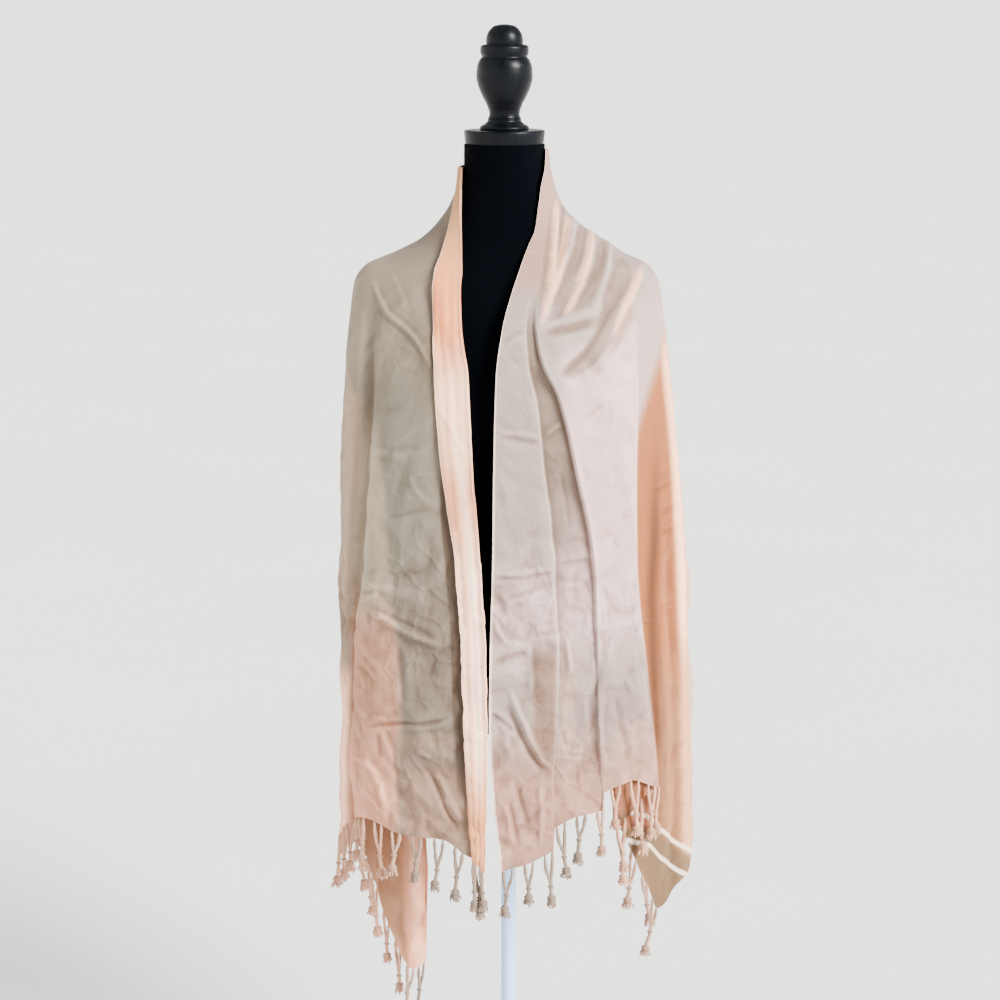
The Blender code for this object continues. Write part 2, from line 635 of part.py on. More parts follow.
def add_fringe(name, middle, normal, number, material):
    """A strip just below a stretch's hem, with its cords hanging from it."""
    points, normals, onward = hem_frame(middle, normal)
    far = np.concatenate([[0.0], np.cumsum(np.linalg.norm(np.diff(points, axis=0), axis=1))])
    stops = cord_stops(points, far, 0.005)
    cuts = [(float(f), None) for f in far]
    cuts[0] = (SEAM / 2, None)
    cuts[-1] = (float(far[-1]) - SEAM / 2, None)
    for index, stop in enumerate(stops):
        cuts += [(stop - CORD_R, index), (stop + CORD_R, None)]
    cuts.sort()

    def read(values, f):
        return np.array([np.interp(f, far, values[:, axis]) for axis in range(3)])

    verts, faces = [], []
    for f, _ in cuts:
        point, facing, on = read(points, f), read(normals, f), read(onward, f)
        top = point + on * STRIP_GAP
        low = top + on * STRIP_H
        side = facing * STRIP_T / 2
        verts += [top + side, low + side, low - side, top - side]
    for i in range(len(cuts) - 1):
        a, b = 4 * i, 4 * i + 4
        faces += split(a, b, b + 1, a + 1)
        faces += split(a + 2, b + 2, b + 3, a + 3)
        faces += split(a + 3, b + 3, b, a)
        if cuts[i][1] is None:
            faces += split(a + 1, b + 1, b + 2, a + 2)
        else:
            add_cord(verts, faces, (a + 1, b + 1, b + 2, a + 2), number + cuts[i][1])
    last_cut = 4 * (len(cuts) - 1)
    faces += split(0, 1, 2, 3)
    faces += split(last_cut, last_cut + 3, last_cut + 2, last_cut + 1)
    add_object(name, verts, faces, material, shift=FORM_X)
    return number + len(stops)


def add_cord(verts, faces, root, number):
    """A four-sided cord from its root face straight down to its tuft."""
    corners = np.array([verts[i] for i in root])
    centre = corners.mean(axis=0)
    across = unit(corners[1] - corners[0])
    level = float(np.hypot(across[0], across[1]))      # 1 on a level hem
    across[2] = 0.0
    across = unit(across)
    through = np.cross(across, (0.0, 0.0, 1.0))
    if np.dot(through, corners[0] - corners[3]) < 0:
        through = -through
    length = CORD_LENGTH * (1.0 + 0.13 * math.sin(2.4 * number) + 0.07 * math.sin(5.1 * number))
    sway = CORD_LEAN * max(0.0, 2.5 * level - 1.5) * (1 if number % 2 == 0 else -1)
    above = list(root)
    for share, lean, radius in CORD_RINGS:
        middle = centre + across * sway * lean - np.array([0.0, 0.0, length * share])
        ring = []
        for s, t in ((-1, 1), (1, 1), (1, -1), (-1, -1)):
            ring.append(len(verts))
            verts.append(middle + across * radius * s + through * radius * t)
        for i in range(4):
            j = (i + 1) % 4
            faces += split(above[i], above[j], ring[j], ring[i])
        above = ring
    faces += split(*above)


# ---------------------------------------------------------------- the dress form
def add_torso(material):
    turn = 2 * math.pi / TORSO_SIDES
    angles = np.arange(TORSO_SIDES) * turn
    dense = np.linspace(TORSO[0][0], TORSO_BOTTOM, 400)
    half = at_height(TORSO, TORSO_COLUMNS, "half", dense)
    front = at_height(TORSO, TORSO_COLUMNS, "front", dense)
    step = np.hypot(np.hypot(np.diff(dense), np.diff(half)), np.diff(front))
    step = step * closer(dense[1:], TORSO_CLOSER)
    far = np.concatenate([[0.0], np.cumsum(step)])
    rings = []
    for z in np.interp(np.linspace(0.0, far[-1], TORSO_ROWS + 1), far, dense):
        value = {name: float(at_height(TORSO, TORSO_COLUMNS, name, z)) for name in TORSO_COLUMNS}
        x, y = squircle(angles, value["half"], 1.0, value["n"])
        depth = np.where(np.cos(angles) > 0, value["back"], -value["front"])
        rings.append([(float(a), float(b), float(z)) for a, b in zip(-x, y * depth)])
    return add_rings("torso", rings, material, shift=FORM_X)


def add_cap(material):
    rings = [circle(r, z) for r, z in NECK_CAP]
    return add_rings("neck_cap", rings, material, shift=FORM_X)


def add_finial(material):
    rings = [circle(r, z) for r, z in reversed(FINIAL)]
    return add_rings("finial", rings, material, sharp=60.0, shift=FORM_X)


def add_stand(material):
    add_rings("base", [circle(r, z) for r, z in BASE], material)
    ends = (TORSO_BOTTOM - SEAM, HUB_TOP + SEAM)
    add_rings("pole", [circle(POLE_R, z, POLE_SIDES) for z in ends], material)


def clear_scene():
    for item in list(bpy.data.objects):
        bpy.data.objects.remove(item, do_unlink=True)


def main():
    clear_scene()
    cloth = make_material("pashmina", CLOTH_COLOUR, 0.75)
    jersey = make_material("black_jersey", JERSEY_COLOUR, 0.9)
    satin = make_material("black_satin", SATIN_COLOUR, 0.45)
    enamel = make_material("white_enamel", ENAMEL_COLOUR, 0.3)

    surface = cloth_surface()
    left, left_normal, left_side = stretch(surface, 0, CORNER_LEFT)
    back, back_normal, _ = stretch(surface, CORNER_LEFT, CORNER_RIGHT)
    right, right_normal, _ = stretch(surface, CORNER_RIGHT, len(STATIONS) - 1)
    left_wall, left_facing = turned_band(left, left_normal, left_side)
    add_wall("shawl_left", left_wall, left_facing, cloth)
    add_wall("shawl_back", back, back_normal, cloth)
    add_wall("shawl_right", right, right_normal, cloth)

    band_end = STATIONS[0][1] + 1
    at_side = sum(row[1] for row in STATIONS[:3])
    lifted = left + left_normal * np.stack([band_lift(points) for points in left])
    number = add_fringe("fringe_left_band", lifted[1:band_end], left_normal[1:band_end], 0, cloth)
    front, side = slice(1, at_side + 1), slice(at_side, None)
    number = add_fringe("fringe_left_front", left[front], left_normal[front], number, cloth)
    number = add_fringe("fringe_left_side", left[side], left_normal[side], number, cloth)
    at_panel = STATIONS[CORNER_RIGHT][1]
    front, side = slice(at_panel, None), slice(0, at_panel)
    number = add_fringe("fringe_right_side", right[side], right_normal[side], number, cloth)
    add_fringe("fringe_right_front", right[front], right_normal[front], number, cloth)

    add_torso(jersey)
    add_cap(satin)
    add_finial(satin)
    add_stand(enamel)


main()
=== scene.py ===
import math

import bpy
import numpy as np
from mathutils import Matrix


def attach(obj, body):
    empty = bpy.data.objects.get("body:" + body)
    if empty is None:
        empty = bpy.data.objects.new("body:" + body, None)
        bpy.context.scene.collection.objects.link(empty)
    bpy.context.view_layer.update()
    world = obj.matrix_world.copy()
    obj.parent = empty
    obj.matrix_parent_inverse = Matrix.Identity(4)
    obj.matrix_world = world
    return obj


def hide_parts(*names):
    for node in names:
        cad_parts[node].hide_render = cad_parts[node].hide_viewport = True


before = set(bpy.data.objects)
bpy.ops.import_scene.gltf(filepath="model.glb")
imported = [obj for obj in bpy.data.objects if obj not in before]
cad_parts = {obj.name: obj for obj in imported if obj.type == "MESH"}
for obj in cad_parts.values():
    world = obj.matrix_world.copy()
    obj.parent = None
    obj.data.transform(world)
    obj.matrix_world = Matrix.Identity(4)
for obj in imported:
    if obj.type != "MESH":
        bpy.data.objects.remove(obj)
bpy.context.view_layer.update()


def metres(rows, plain=()):
    """A table written in millimetres as one in metres, apart from its plain columns."""
    return [tuple(v if i in plain else v / 1000.0 for i, v in enumerate(row)) for row in rows]


# ---------------------------------------------------------------- the cloth's sizes
FORM_X = -0.006             # the form sits a little to the left of its pole
THICK = 0.0009              # thickness of the cloth
BAND_LIFT = 0.006           # the turned-back band stands this far off the panel
NECK_LIFT = 0.0036          # and this far where it passes round the neck
NECK_LOW, NECK_HIGH = 1.330, 1.410
BAND_TURNS = 7              # columns round the band's fold
BAND_FLAT = 0.040           # width over which the band's creases are drawn
BAND_YARNS = 0.028          # and over which its yarns run
BAND_SINK, BAND_SINK_SHARE = 0.0016, 0.30   # its free edge lies closer, over a share of its width
BAND_RIB, BAND_RIBS = 0.0004, 3.2           # height and number of its ribs, which run down it
BAND_CURL = 75.0            # degrees that its fold turns to each side
CORD_LENGTH = 0.068
CORD_PITCH = 0.0152
STEEP_SHARE = 0.25          # how much of a hem's drop counts towards the pitch of its cords

SPLIT_Z = 0.800             # rows are level down to here, then follow the lower edge
SHOULDER_Z = 1.305          # rows are closer together near this height
SHOULDER_SPREAD = 0.050
CLOSER = 0.8
TOP_ROWS = 280
LOW_ROWS = 110
STEP_Z = 0.002              # height step of the working sections
ARC = 160                   # points of each quarter of a working section

# Horizontal sections of the cloth, in millimetres. The inner edges bound the opening at the
# front, the halves are how far the cloth reaches to each side, and n is the superellipse exponent.
SECTION_COLUMNS = ("z", "left_edge", "right_edge", "left_half", "right_half", "front", "back", "n")
SECTIONS = metres((
    (1450, -50, 50.5, 53, 53, 54, 56, 2.0),
    (1424, -51.1, 49.5, 54.5, 56.5, 54.5, 57, 2.0),
    (1400, -52, 44.5, 58.5, 62, 55.5, 58, 2.0),
    (1375, -52, 41, 68, 72, 57, 60, 2.0),
    (1350, -51.8, 37.2, 86, 96, 60, 64, 2.0),
    (1331, -51.6, 29, 107, 126, 65, 69, 2.1),
    (1315, -51.5, 22.5, 139, 150, 72, 75, 2.2),
    (1300, -51.4, 17, 174, 180, 81, 82, 2.3),
    (1281, -53, 10, 187.5, 192.5, 93, 90, 2.4),
    (1240, -51.5, -2, 193, 200, 115, 101, 2.5),
    (1180, -43.5, -10.5, 198.5, 207, 135, 109, 2.6),
    (1070, -38.5, -13.5, 205.5, 219.5, 147, 118, 2.7),
    (950, -29.2, -15, 209.5, 228.5, 148, 130, 2.7),
    (840, -22.8, -18, 211, 235, 148, 143, 2.7),
    (740, -21.7, -19.2, 210.5, 242, 148, 144, 2.7),
    (640, -22.5, -14, 212.5, 247, 148, 120, 2.6),
    (540, -25, -5, 216.5, 250, 148, 85, 2.5),
    (430, -25, -5, 215, 245, 145, 60, 2.4),
    (280, -25, -5, 205, 240, 140, 50, 2.3),
), plain=(7,))

# Lines that run down the fronts, in millimetres: how far the turned-back band and the right
# front's pleat reach in from their inner edges, and how far from the middle the outer folds lie.
# Above the first height each line keeps its share of the section.
LINE_COLUMNS = ("z", "band", "tray", "pleat", "left_valley", "right_corner", "right_panel")
LINES = metres((
    (1300, 33, 22, 28, 150, 169, 150),
    (1255, 33.5, 26, 35, 162, 186, 157),
    (1208, 40, 35, 50, 168, 190, 159),
    (1152, 41.3, 51, 78, 172, 193, 162),
    (1060, 36.5, 64, 103, 176.5, 197, 161),
    (950, 30.5, 77, 125, 187, 202, 163),
    (800, 30, 86, 135, 199.5, 208, 179),
    (640, 23.5, 76, 140, 205, 214, 196),
    (540, 15, 70, 142, 204, 214, 198),
    (280, 15, 70, 142, 195, 214, 198),
))

# Stations along every section, from the left inner edge round the back to the right one, and
# the number of columns from each to the next.
STATIONS = (
    ("left_edge", 24), ("left_band", 72), ("left_valley", 32), ("left_side", 48),
    ("left_corner", 46), ("back", 92), ("right_side", 32), ("right_corner", 60),
    ("right_panel", 30), ("pleat_outer", 6), ("pleat_inner", 24), ("tray_outer", 6),
    ("tray_inner", 42), ("right_edge", 0),
)
LEFT_CORNER = 0.52          # share of the way from the left side to the back of the left corner
BACK = 5                    # the station at the back's middle
CORNER_RIGHT, PANEL_EDGE = 7, 8     # stations between which the right front's fold is lapped
TRAY_OUTER, TRAY_INNER = 9, 12

CREASE = 0.004              # width of the step on each side of the right front's pleat
TRAY_DEPTH = 0.009          # the pleat's tray lies this far back
TRAY_TOP, TRAY_GROWN = 1.290, 1.190                 # it deepens between these heights,
TRAY_FLAT_TOP, TRAY_FLAT_LOW = 0.980, 0.730         # then flattens to a quarter
TRAY_FLAT = 0.25
TUCK = 0.056                # the right front's outer fold laps over the side by this much
TUCK_R = 0.004              # radius of its two turns
TUCK_NONE, TUCK_DEEP, TUCK_FULL = 1.300, 1.200, 0.760
TUCK_TURNED = 0.7           # its turns are whole once this share of its width is lapped
TUCK_SHARES = (0.0, 0.25, 0.4167, 0.6667, 0.8333)    # where its turns end, from edge to corner

# Folds that run down the cloth. place is a station number and may lie between two, width is
# half the fold's width, and depth is how far it stands out (in, below zero).
# A fold grows from z_none to z_full and stays to the bottom.
# Each row holds: place_high, place_low, then width, depth, z_none and z_full in millimetres.
FOLDS = metres((
    (1.98, 2.02, 20, -11, 1300, 1160),
    (3.02, 3.0, 30, 4, 1250, 1000),
    (3.24, 3.28, 36, -21, 1270, 880),
    (3.5, 3.53, 36, 18, 1250, 860),
    (3.76, 3.79, 36, -20, 1240, 840),
    (4.0, 4.05, 36, 18, 1250, 860),
    (4.26, 4.31, 36, -18, 1250, 880),
    (4.5, 4.57, 38, 20, 1310, 900),
    (4.76, 4.82, 36, -16, 1280, 900),
    (4.98, 5.05, 36, 18, 1310, 920),
    (5.14, 5.17, 36, -16, 1280, 880),
    (5.3, 5.3, 38, 21, 1310, 900),
    (5.46, 5.43, 36, -18, 1270, 860),
    (5.6, 5.56, 38, 22, 1280, 860),
    (5.74, 5.69, 36, -20, 1240, 860),
    (5.85, 5.81, 36, 19, 1260, 880),
    (5.95, 5.93, 30, -12, 1220, 900),
    (6.3, 6.25, 30, 4, 1220, 950),
    (6.62, 6.6, 26, -4, 1200, 900),
), plain=(0, 1))
FOLD_LOW_Z = 0.600          # a fold has moved to its low place here

# Folds drawn slantwise over a front by the cloth's pull, between two points in x and z.
# Each row holds, in millimetres: x_high, z_high, x_low, z_low, width, depth.
DRAGS = metres((
    (118, 1316, 50, 1232, 14, -5),
    (165, 1268, 92, 1172, 17, -6),
    (-105, 1310, -68, 1180, 20, -4),
))
DRAG_END = 0.3              # share of its length over which a slanting fold fades out

# Upper and lower edges of the cloth. Each pair holds a station and its height in millimetres.
TOP_EDGE = metres((
    (0, 1422.5), (3, 1422.5), (4, 1430), (5, 1437), (6, 1441), (13, 1446),
), plain=(0,))
LOW_EDGE = metres((
    (0, 548), (0.3, 555), (1, 566), (1.18, 586), (1.5, 590), (1.75, 600), (2, 582), (2.5, 556),
    (3, 530), (3.25, 500), (3.48, 445), (3.6, 380), (3.7, 338), (3.8, 322), (4, 314), (4.1, 470),
    (4.2, 600), (4.4, 700), (4.6, 740), (5, 772), (5.25, 752), (5.5, 690), (5.75, 605), (6, 512),
    (6.5, 485), (7, 462), (7.17, 500), (7.25, 550), (7.33, 596), (7.58, 602), (7.75, 640), (8, 645),
    (8.5, 662), (9, 650), (10, 624), (10.5, 620), (11, 604), (12, 574), (12.5, 556), (13, 545),
), plain=(0,))

# Finer folds and pressed creases of the fronts, each along a path of points in x and z. A fold
# stands out by its height (in, below zero) over half its width; a step lifts one side.
# Each row holds, in millimetres: half width, height, then x and z of each point of the path.
LEFT_CREASES = (
    (7, 1.4, -166, 1292, -158, 1277, -149, 1261, -143, 1251, -129, 1242, -117, 1233, -108, 1224,
     -102, 1215, -93, 1199, -85, 1187),
    (9, 0.7, -181, 911, -153, 915, -137, 916),
    (7, -0.6, -181, 901, -165, 907, -144, 908),
    (6, 0.9, -181, 890, -168, 901, -152, 911),
    (7, 2, -176, 885, -165, 881, -152, 877, -132, 866, -111, 857, -88, 850, -74, 845),
    (9, -0.9, -149, 883, -130, 874, -107, 866, -85, 858),
    (6, 1.2, -184, 815, -169, 802, -160, 790),
    (5, 1, -186, 801, -180, 786, -177, 774),
    (6, 1.3, -194, 762, -184, 743, -175, 734),
    (7, 1.2, -169, 740, -158, 741, -149, 740),
    (6, -1.5, -183, 724, -152, 734, -125, 741, -103, 742, -82, 748, -65, 755),
    (6, 0.9, -131, 733, -103, 737, -80, 742, -65, 750),
    (8, 1.8, -204, 674, -177, 678, -167, 671, -157, 652, -152, 627, -151, 589),
    (6, -1.2, -161, 723, -159, 705, -159, 688),
    (7, 1.2, -190, 644, -171, 633, -151, 611),
    (7, -0.9, -142, 713, -137, 670, -134, 626),
    (7, 1.3, -112, 707, -102, 704, -91, 698),
    (6, -1.8, -100, 684, -85, 657, -74, 629, -57, 597),
    (8, 1.3, -90, 685, -74, 656, -62, 630, -51, 606),
    (5, -0.5, -99, 633, -99, 595),
    (8, 0.6, -117, 1067, -110, 1046, -97, 1031, -86, 1025),
    (7, -0.5, -147, 1004, -115, 1014, -83, 1023),
    (5, 0.4, -112, 1063, -90, 1064, -83, 1065),
    (10, -0.8, -132, 849, -126, 785, -129, 750),
)
LEFT_STEPS = (
    (14, 1, -139, 1302, -130, 1289, -122, 1273, -117, 1252),
    (12, 0.7, -178, 1095, -140, 1087, -96, 1095),
)
RIGHT_CREASES = (
    (9, 2.3, 65, 1395, 61, 1345, 58, 1306, 53, 1273, 45, 1245, 41, 1225),
    (9, 2, 88, 1372, 80, 1331, 70, 1309, 60, 1280, 54, 1262),
    (10, 2.3, 110, 1358, 103, 1317, 92, 1286, 75, 1257, 62, 1244),
    (9, 1.8, 134, 1340, 122, 1295, 112, 1266, 104, 1252),
    (14, 2.6, 178, 1312, 154, 1275, 136, 1248, 121, 1217, 109, 1195, 100, 1176),
    (12, -2, 144, 1277, 123, 1252, 112, 1228, 98, 1208, 71, 1187, 58, 1175),
    (9, 1.6, 122, 1262, 87, 1251, 62, 1244, 44, 1238),
    (9, -1.2, 112, 1246, 84, 1238, 48, 1232),
    (5, 0.9, -10, 1116, 9, 1115, 28, 1113, 45, 1110),
    (5, -1.1, -10, 1111, 9, 1108, 28, 1104, 44, 1105),
    (5, 1, 48, 1111, 58, 1119, 70, 1125),
    (6, -0.5, 87, 1131, 102, 1135, 118, 1147, 125, 1149),
    (4, -0.4, 128, 1156, 128, 1118),
    (5, 0.9, -18, 940, 21, 940, 43, 944, 63, 947),
    (5, -1.2, -18, 934, 21, 935, 43, 939, 62, 943),
    (5, -0.9, -2, 907, 21, 915, 46, 922),
    (5, 0.8, -2, 902, 21, 909, 50, 918),
    (5, -0.8, -18, 900, -3, 906),
    (6, 1.2, -14, 886, -8, 866, 1, 853, 30, 849),
    (8, -1.4, -17, 824, 4, 833, 30, 841),
    (5, -0.8, 34, 860, 52, 864, 73, 867),
    (5, -1, 64, 950, 90, 953, 106, 954),
    (7, 0.9, 66, 922, 80, 922, 98, 922),
    (4, -0.6, 133, 978, 141, 967),
    (4, -0.7, 99, 927, 104, 910),
    (4, -0.5, 108, 901, 122, 900),
    (4, -0.4, 120, 896, 122, 867),
    (4, 0.7, 115, 852, 120, 844),
    (6, 1.2, 75, 862, 79, 835, 83, 805),
    (9, -1.6, 119, 833, 117, 800, 109, 774, 109, 724),
    (8, 1.3, 123, 787, 120, 753, 121, 714, 128, 675),
    (8, 2.4, 4, 798, 18, 760, 32, 727, 47, 697, 64, 681),
    (8, -1.8, -1, 777, 12, 748, 27, 718, 42, 692, 60, 674),
    (7, -1.8, -19, 761, -4, 750, 13, 734),
    (6, -1, 71, 738, 77, 713),
    (5, 0.8, 82, 707, 100, 706),
    (8, -1.2, 13, 671, 22, 637, 32, 603),
    (8, 1.2, 46, 671, 47, 630, 46, 583),
    (7, 1, -2, 644, 6, 610, 11, 576),
    (6, -1, 5, 644, 12, 609, 19, 579),
    (8, -0.9, 138, 785, 148, 731, 159, 683),
    (6, 0.6, 85, 1087, 92, 1057, 95, 1025),
    (6, -0.5, 67, 1070, 75, 1032, 81, 988),
)
RIGHT_STEPS = (
    (12, 1.2, -2, 1217, 9, 1227, 25, 1231),
    (10, 1, 35, 866, 33, 829, 37, 777),
    (9, 0.8, 95, 676, 110, 676, 126, 673),
)

# Where painted shade lies in the right shoulder's folds, and where a painted highlight makes their
# crests pale.
# Each row holds: half width, strength, then x and z of each point of the path.
SHADES = (
    (7, 0.8, 76, 1392, 69, 1350, 65, 1306, 58, 1280, 52, 1262),
    (14, 1.1, 96, 1362, 92, 1328, 84, 1308, 75, 1291, 63, 1269, 55, 1254),
    (13, 0.9, 123, 1345, 117, 1304, 105, 1280, 88, 1262, 76, 1250),
    (16, 0.8, 150, 1318, 138, 1294, 124, 1273, 116, 1262),
    (18, 1.3, 164, 1310, 149, 1295, 136, 1276, 127, 1256, 119, 1226, 104, 1205, 82, 1189, 60, 1175),
    (13, 0.7, 124, 1248, 84, 1238, 40, 1230),
)
CRESTS = (
    (8, 1, 65, 1400, 61, 1345, 58, 1306, 53, 1273, 45, 1245, 41, 1225),
    (9, 0.9, 82, 1375, 73, 1331, 67, 1304, 58, 1278, 52, 1262),
    (10, 0.9, 110, 1358, 102, 1317, 91, 1284, 75, 1257, 62, 1244),
    (11, 0.8, 176, 1312, 163, 1290, 149, 1262, 139, 1238, 131, 1216),
)

# Pressed folds across the back and sides, in distance across from the back's middle and height.
PRESSED = (
    (7, 0.9, -620, 1060, -200, 1052, 200, 1056, 620, 1050),
    (7, -0.9, -620, 882, -200, 876, 200, 880, 620, 872),
    (6, 0.8, -150, 1200, -154, 950, -150, 600),
    (6, 0.8, 170, 1200, 166, 950, 170, 600),
)
# Creases across the turned-back band, in distance across from its free edge and height.
BAND_CREASES = (
    (6, -1.1, 0, 819, 40, 823),
    (6, -1.2, 0, 744, 20, 752, 40, 754),
    (5, 0.8, 0, 734, 20, 742, 40, 745),
    (6, 0.9, 0, 1150, 18, 1120, 30, 1080),
    (7, -0.8, 4, 985, 22, 1000, 40, 996),
)
# Short creases strewn over the back and sides: their number, box (distance across and height),
# lengths, heights and half widths in millimetres, their tilt in degrees, and the seed.
STREWN, STREWN_BOX, STREWN_LENGTHS = 90, (-600, 600, 500, 1240), (30, 110)
STREWN_HEIGHTS, STREWN_WIDTHS, STREWN_TILT, STREWN_SEED = (0.7, 2.0), (6, 10), 26.0, 11
STREWN_BEND = 0.12          # how far one bends, as a share of its length

# Uneven waves of the cloth. Each row holds: height, a cell's size across and down, seed.
CRUMPLES = ((0.0035, 0.042, 0.048, 31), (0.0018, 0.019, 0.023, 32))
FINE_WAVE = (0.0010, 0.024, 0.060, 3)
LOW_WAVE = (0.0012, 0.070, 0.110, 5)
HEM_WAVE = (0.0016, 0.022, 0.200, 6)
BAND_WAVE = (0.0009, 0.4, 0.050, 21)        # the first size is a share of the band's width
RELIEF = 0.0022             # height in metres of a traced crease one millimetre high
CRISP = 0.55                # how much of a crease comes to a sharp crest
STEP_SHARE = 0.25           # share of its half width over which a step rises
CREASE_END = 0.25           # share of its length over which a crease fades out
EVEN_REACH = 6              # columns over which normals are averaged at the pleat's steps
NOISE_CELLS = 61
SIMPLEX = 0.366             # skews a square grid into one of even triangles
HEM_RIPPLE = 0.05           # the lowest part of the cloth, which ripples a little

CORD_R, ROOT_R = 0.0021, 0.0007             # half a cord's width, and where it leaves the hem
JOINED = 1.15               # two cords go on as one that is thicker by this
CORD_POINTS, YARN_POINTS = 16, 7            # points along a cord and along a tuft's yarn
MEET = (0.46, 0.62)         # where two cords meet, as a share of their length
KNOT_DARK = 0.78            # knots are darker than their cords
# The knot of two cords and the knot over a tuft: radius, shape, and reach up and down.
KNOT_R, TUFT_KNOT_R = 0.0038, 0.0054
KNOT_SHAPE = (0.45, 0.85, 1.0, 0.9, 1.0, 0.8, 0.4)
TUFT_KNOT_SHAPE = (0.35, 0.7, 0.92, 1.0, 0.94, 1.0, 1.02, 0.95, 0.8, 0.5)
KNOT_SPAN, TUFT_KNOT_SPAN = (-0.0022, 0.0026), (-0.0050, 0.0045)
TWIST, KNOT_TWIST, TUFT_KNOT_TWIST = 900.0, 500.0, 380.0    # turn of the yarns, radians a metre
PLY_DEPTH = 0.22            # how deep the grooves between twisted yarns are
TUFT_YARNS = 16
TUFT_LENGTH = (0.0095, 0.0125)
TUFT_REACH = 0.0066         # how far its yarns spread
TUFT_ROOT_R, TUFT_END_R = 0.0014, 0.0009
CORD_INSET = 0.004          # from the ends of a hem to its outer cords
PAIR_PULL = 0.10            # how far two cords of a pair lean to each other at the hem
ROOT_IN = 0.0015            # cords begin this far inside the hem

# Satin stripes woven along each end. On the right tail, where they show, each row holds a
# stripe's height at station 7 and its rise to each station.
STRIPES = ((0.576, 0.075), (0.537, 0.072))
STRIPE_HALF, STRIPE_EDGE = 0.0050, 0.0034
STRIPE_SHARE = 0.62         # how much of the pale silk shows in a stripe
BAND_SHADOW_WIDTH = 0.0145             # width of the painted shadow of the turned-back band on the cloth beside it
EDGE_SHARE = 0.05           # the last share of the inner strip, where its selvedge shows

# Painted shade in the hollows of the creases and painted highlight on their crests. Each row
# holds: steps of the grid over which hollows are measured, depth at which a hollow has its full
# painted shade, how much paler the painted highlight makes crests, and how many times that depth
# is where the deep folds of the back run.
CREASE_SHADING = ((3, 0.0006, 0.12, 1.0), (11, 0.0036, 0.10, 4.0))
# Colour factor of the painted shade in the hollows.
HOLLOW_SHADE = (0.84, 0.80, 0.77)
GLOW_TOP = 1.150            # height at which the side's painted glow ends, at x = 0.165
GLOW_SLOPE = 2.4            # and how steeply that line rises
# Middle of the side's dark streak, a painted shadow of the right front's lapped edge, from the
# front. Heights, then how far right.
EDGE_SHADOW_MIDDLE = ((0.67, 0.76, 0.893, 0.97, 1.15), (0.199, 0.1916, 0.185, 0.1878, 0.190))
# Where the left front's outer part turns warmer, with painted light shining through the cloth
# beside the form. Heights, then how far right.
WARMER = ((0.75, 0.83, 0.89, 0.99, 1.10), (-0.124, -0.126, -0.132, -0.139, -0.145))
# Station where the left front meets the paler strip at its side. Heights, then stations.
SEAM = ((0.60, 0.72, 0.80, 0.95, 1.145, 1.255, 1.28), (2.15, 2.12, 2.06, 2.05, 2.04, 3.20, 3.30))

# ---------------------------------------------------------------- colours, linear
CREAM = (0.427, 0.267, 0.193)
TAUPE = (0.150, 0.117, 0.087)
OLIVE = (0.222, 0.185, 0.130)
SAGE = (0.150, 0.138, 0.106)
STONE = (0.128, 0.096, 0.074)
ROSE = (0.370, 0.185, 0.115)
TAN = (0.310, 0.215, 0.145)
UMBER = (0.110, 0.068, 0.040)
TAWNY = (0.188, 0.111, 0.077)
BLUSH = (0.860, 0.400, 0.248)
LILAC = (0.275, 0.215, 0.185)
BLOOM = (0.400, 0.280, 0.260)
PEARL = (0.493, 0.340, 0.320)
MAUVE = (0.213, 0.153, 0.140)
TRAY_SHADE = (0.167, 0.120, 0.093)
PETAL = (0.310, 0.170, 0.125)
GLOW = (0.265, 0.088, 0.030)
EDGE_SHADOW_COLOUR = (0.075, 0.026, 0.010)
TAIL_FOLD_SHADE = (0.120, 0.070, 0.035)
PALE = (0.98, 0.80, 0.66)
SHADE_TONE = (0.205, 0.143, 0.112)
CREST_HIGHLIGHT = (0.520, 0.305, 0.205)
BAND_CREAM = (0.980, 0.580, 0.390)
BAND_PEACH = (0.760, 0.250, 0.098)
BAND_TAN = (0.500, 0.250, 0.115)
BRICK = (0.222, 0.136, 0.092)
CLAY = (0.380, 0.190, 0.108)
BAND_SHADOW_COLOUR = (0.070, 0.047, 0.033)
HALO = (0.780, 0.400, 0.235)
DRAB = (0.260, 0.130, 0.070)
RUST = (0.270, 0.105, 0.055)
BAND_HONEY = (0.600, 0.240, 0.110)
FOLD_SHADOW = (0.100, 0.076, 0.050)
BUFF = (0.295, 0.240, 0.172)
CORD_PALE = (0.205, 0.145, 0.105)
CORD_ROSE = (0.520, 0.270, 0.170)

YARN = 0.0009               # pitch of the weave
STITCH = 0.0014             # pitch of the jersey's stitches

FLOOR_R, FLOOR_Z, FLOOR_SIDES = 30.0, -0.0005, 64
WORLD_COLOUR = (1.0, 1.0, 1.0, 1.0)
HORIZON = (0.10, 0.35, 2.60, 0.68)      # heights in the sky, and its brightness at each
# Each row holds: name, strength, angle it spreads over, colour, tilt from straight down, turn.
SUNS = (
    ("key", 15.8, 26.0, (1.0, 0.985, 0.965), 61.0, 54.0),
    ("fill", 1.95, 90.0, (1.0, 0.99, 0.98), 74.0, -78.0),
)
CAMERA_AT = (-0.0115, -2.45, 1.60)
CAMERA_TILT = 13.83         # degrees down
CAMERA_LENS = 70.4
TURNED_SIDES = 128
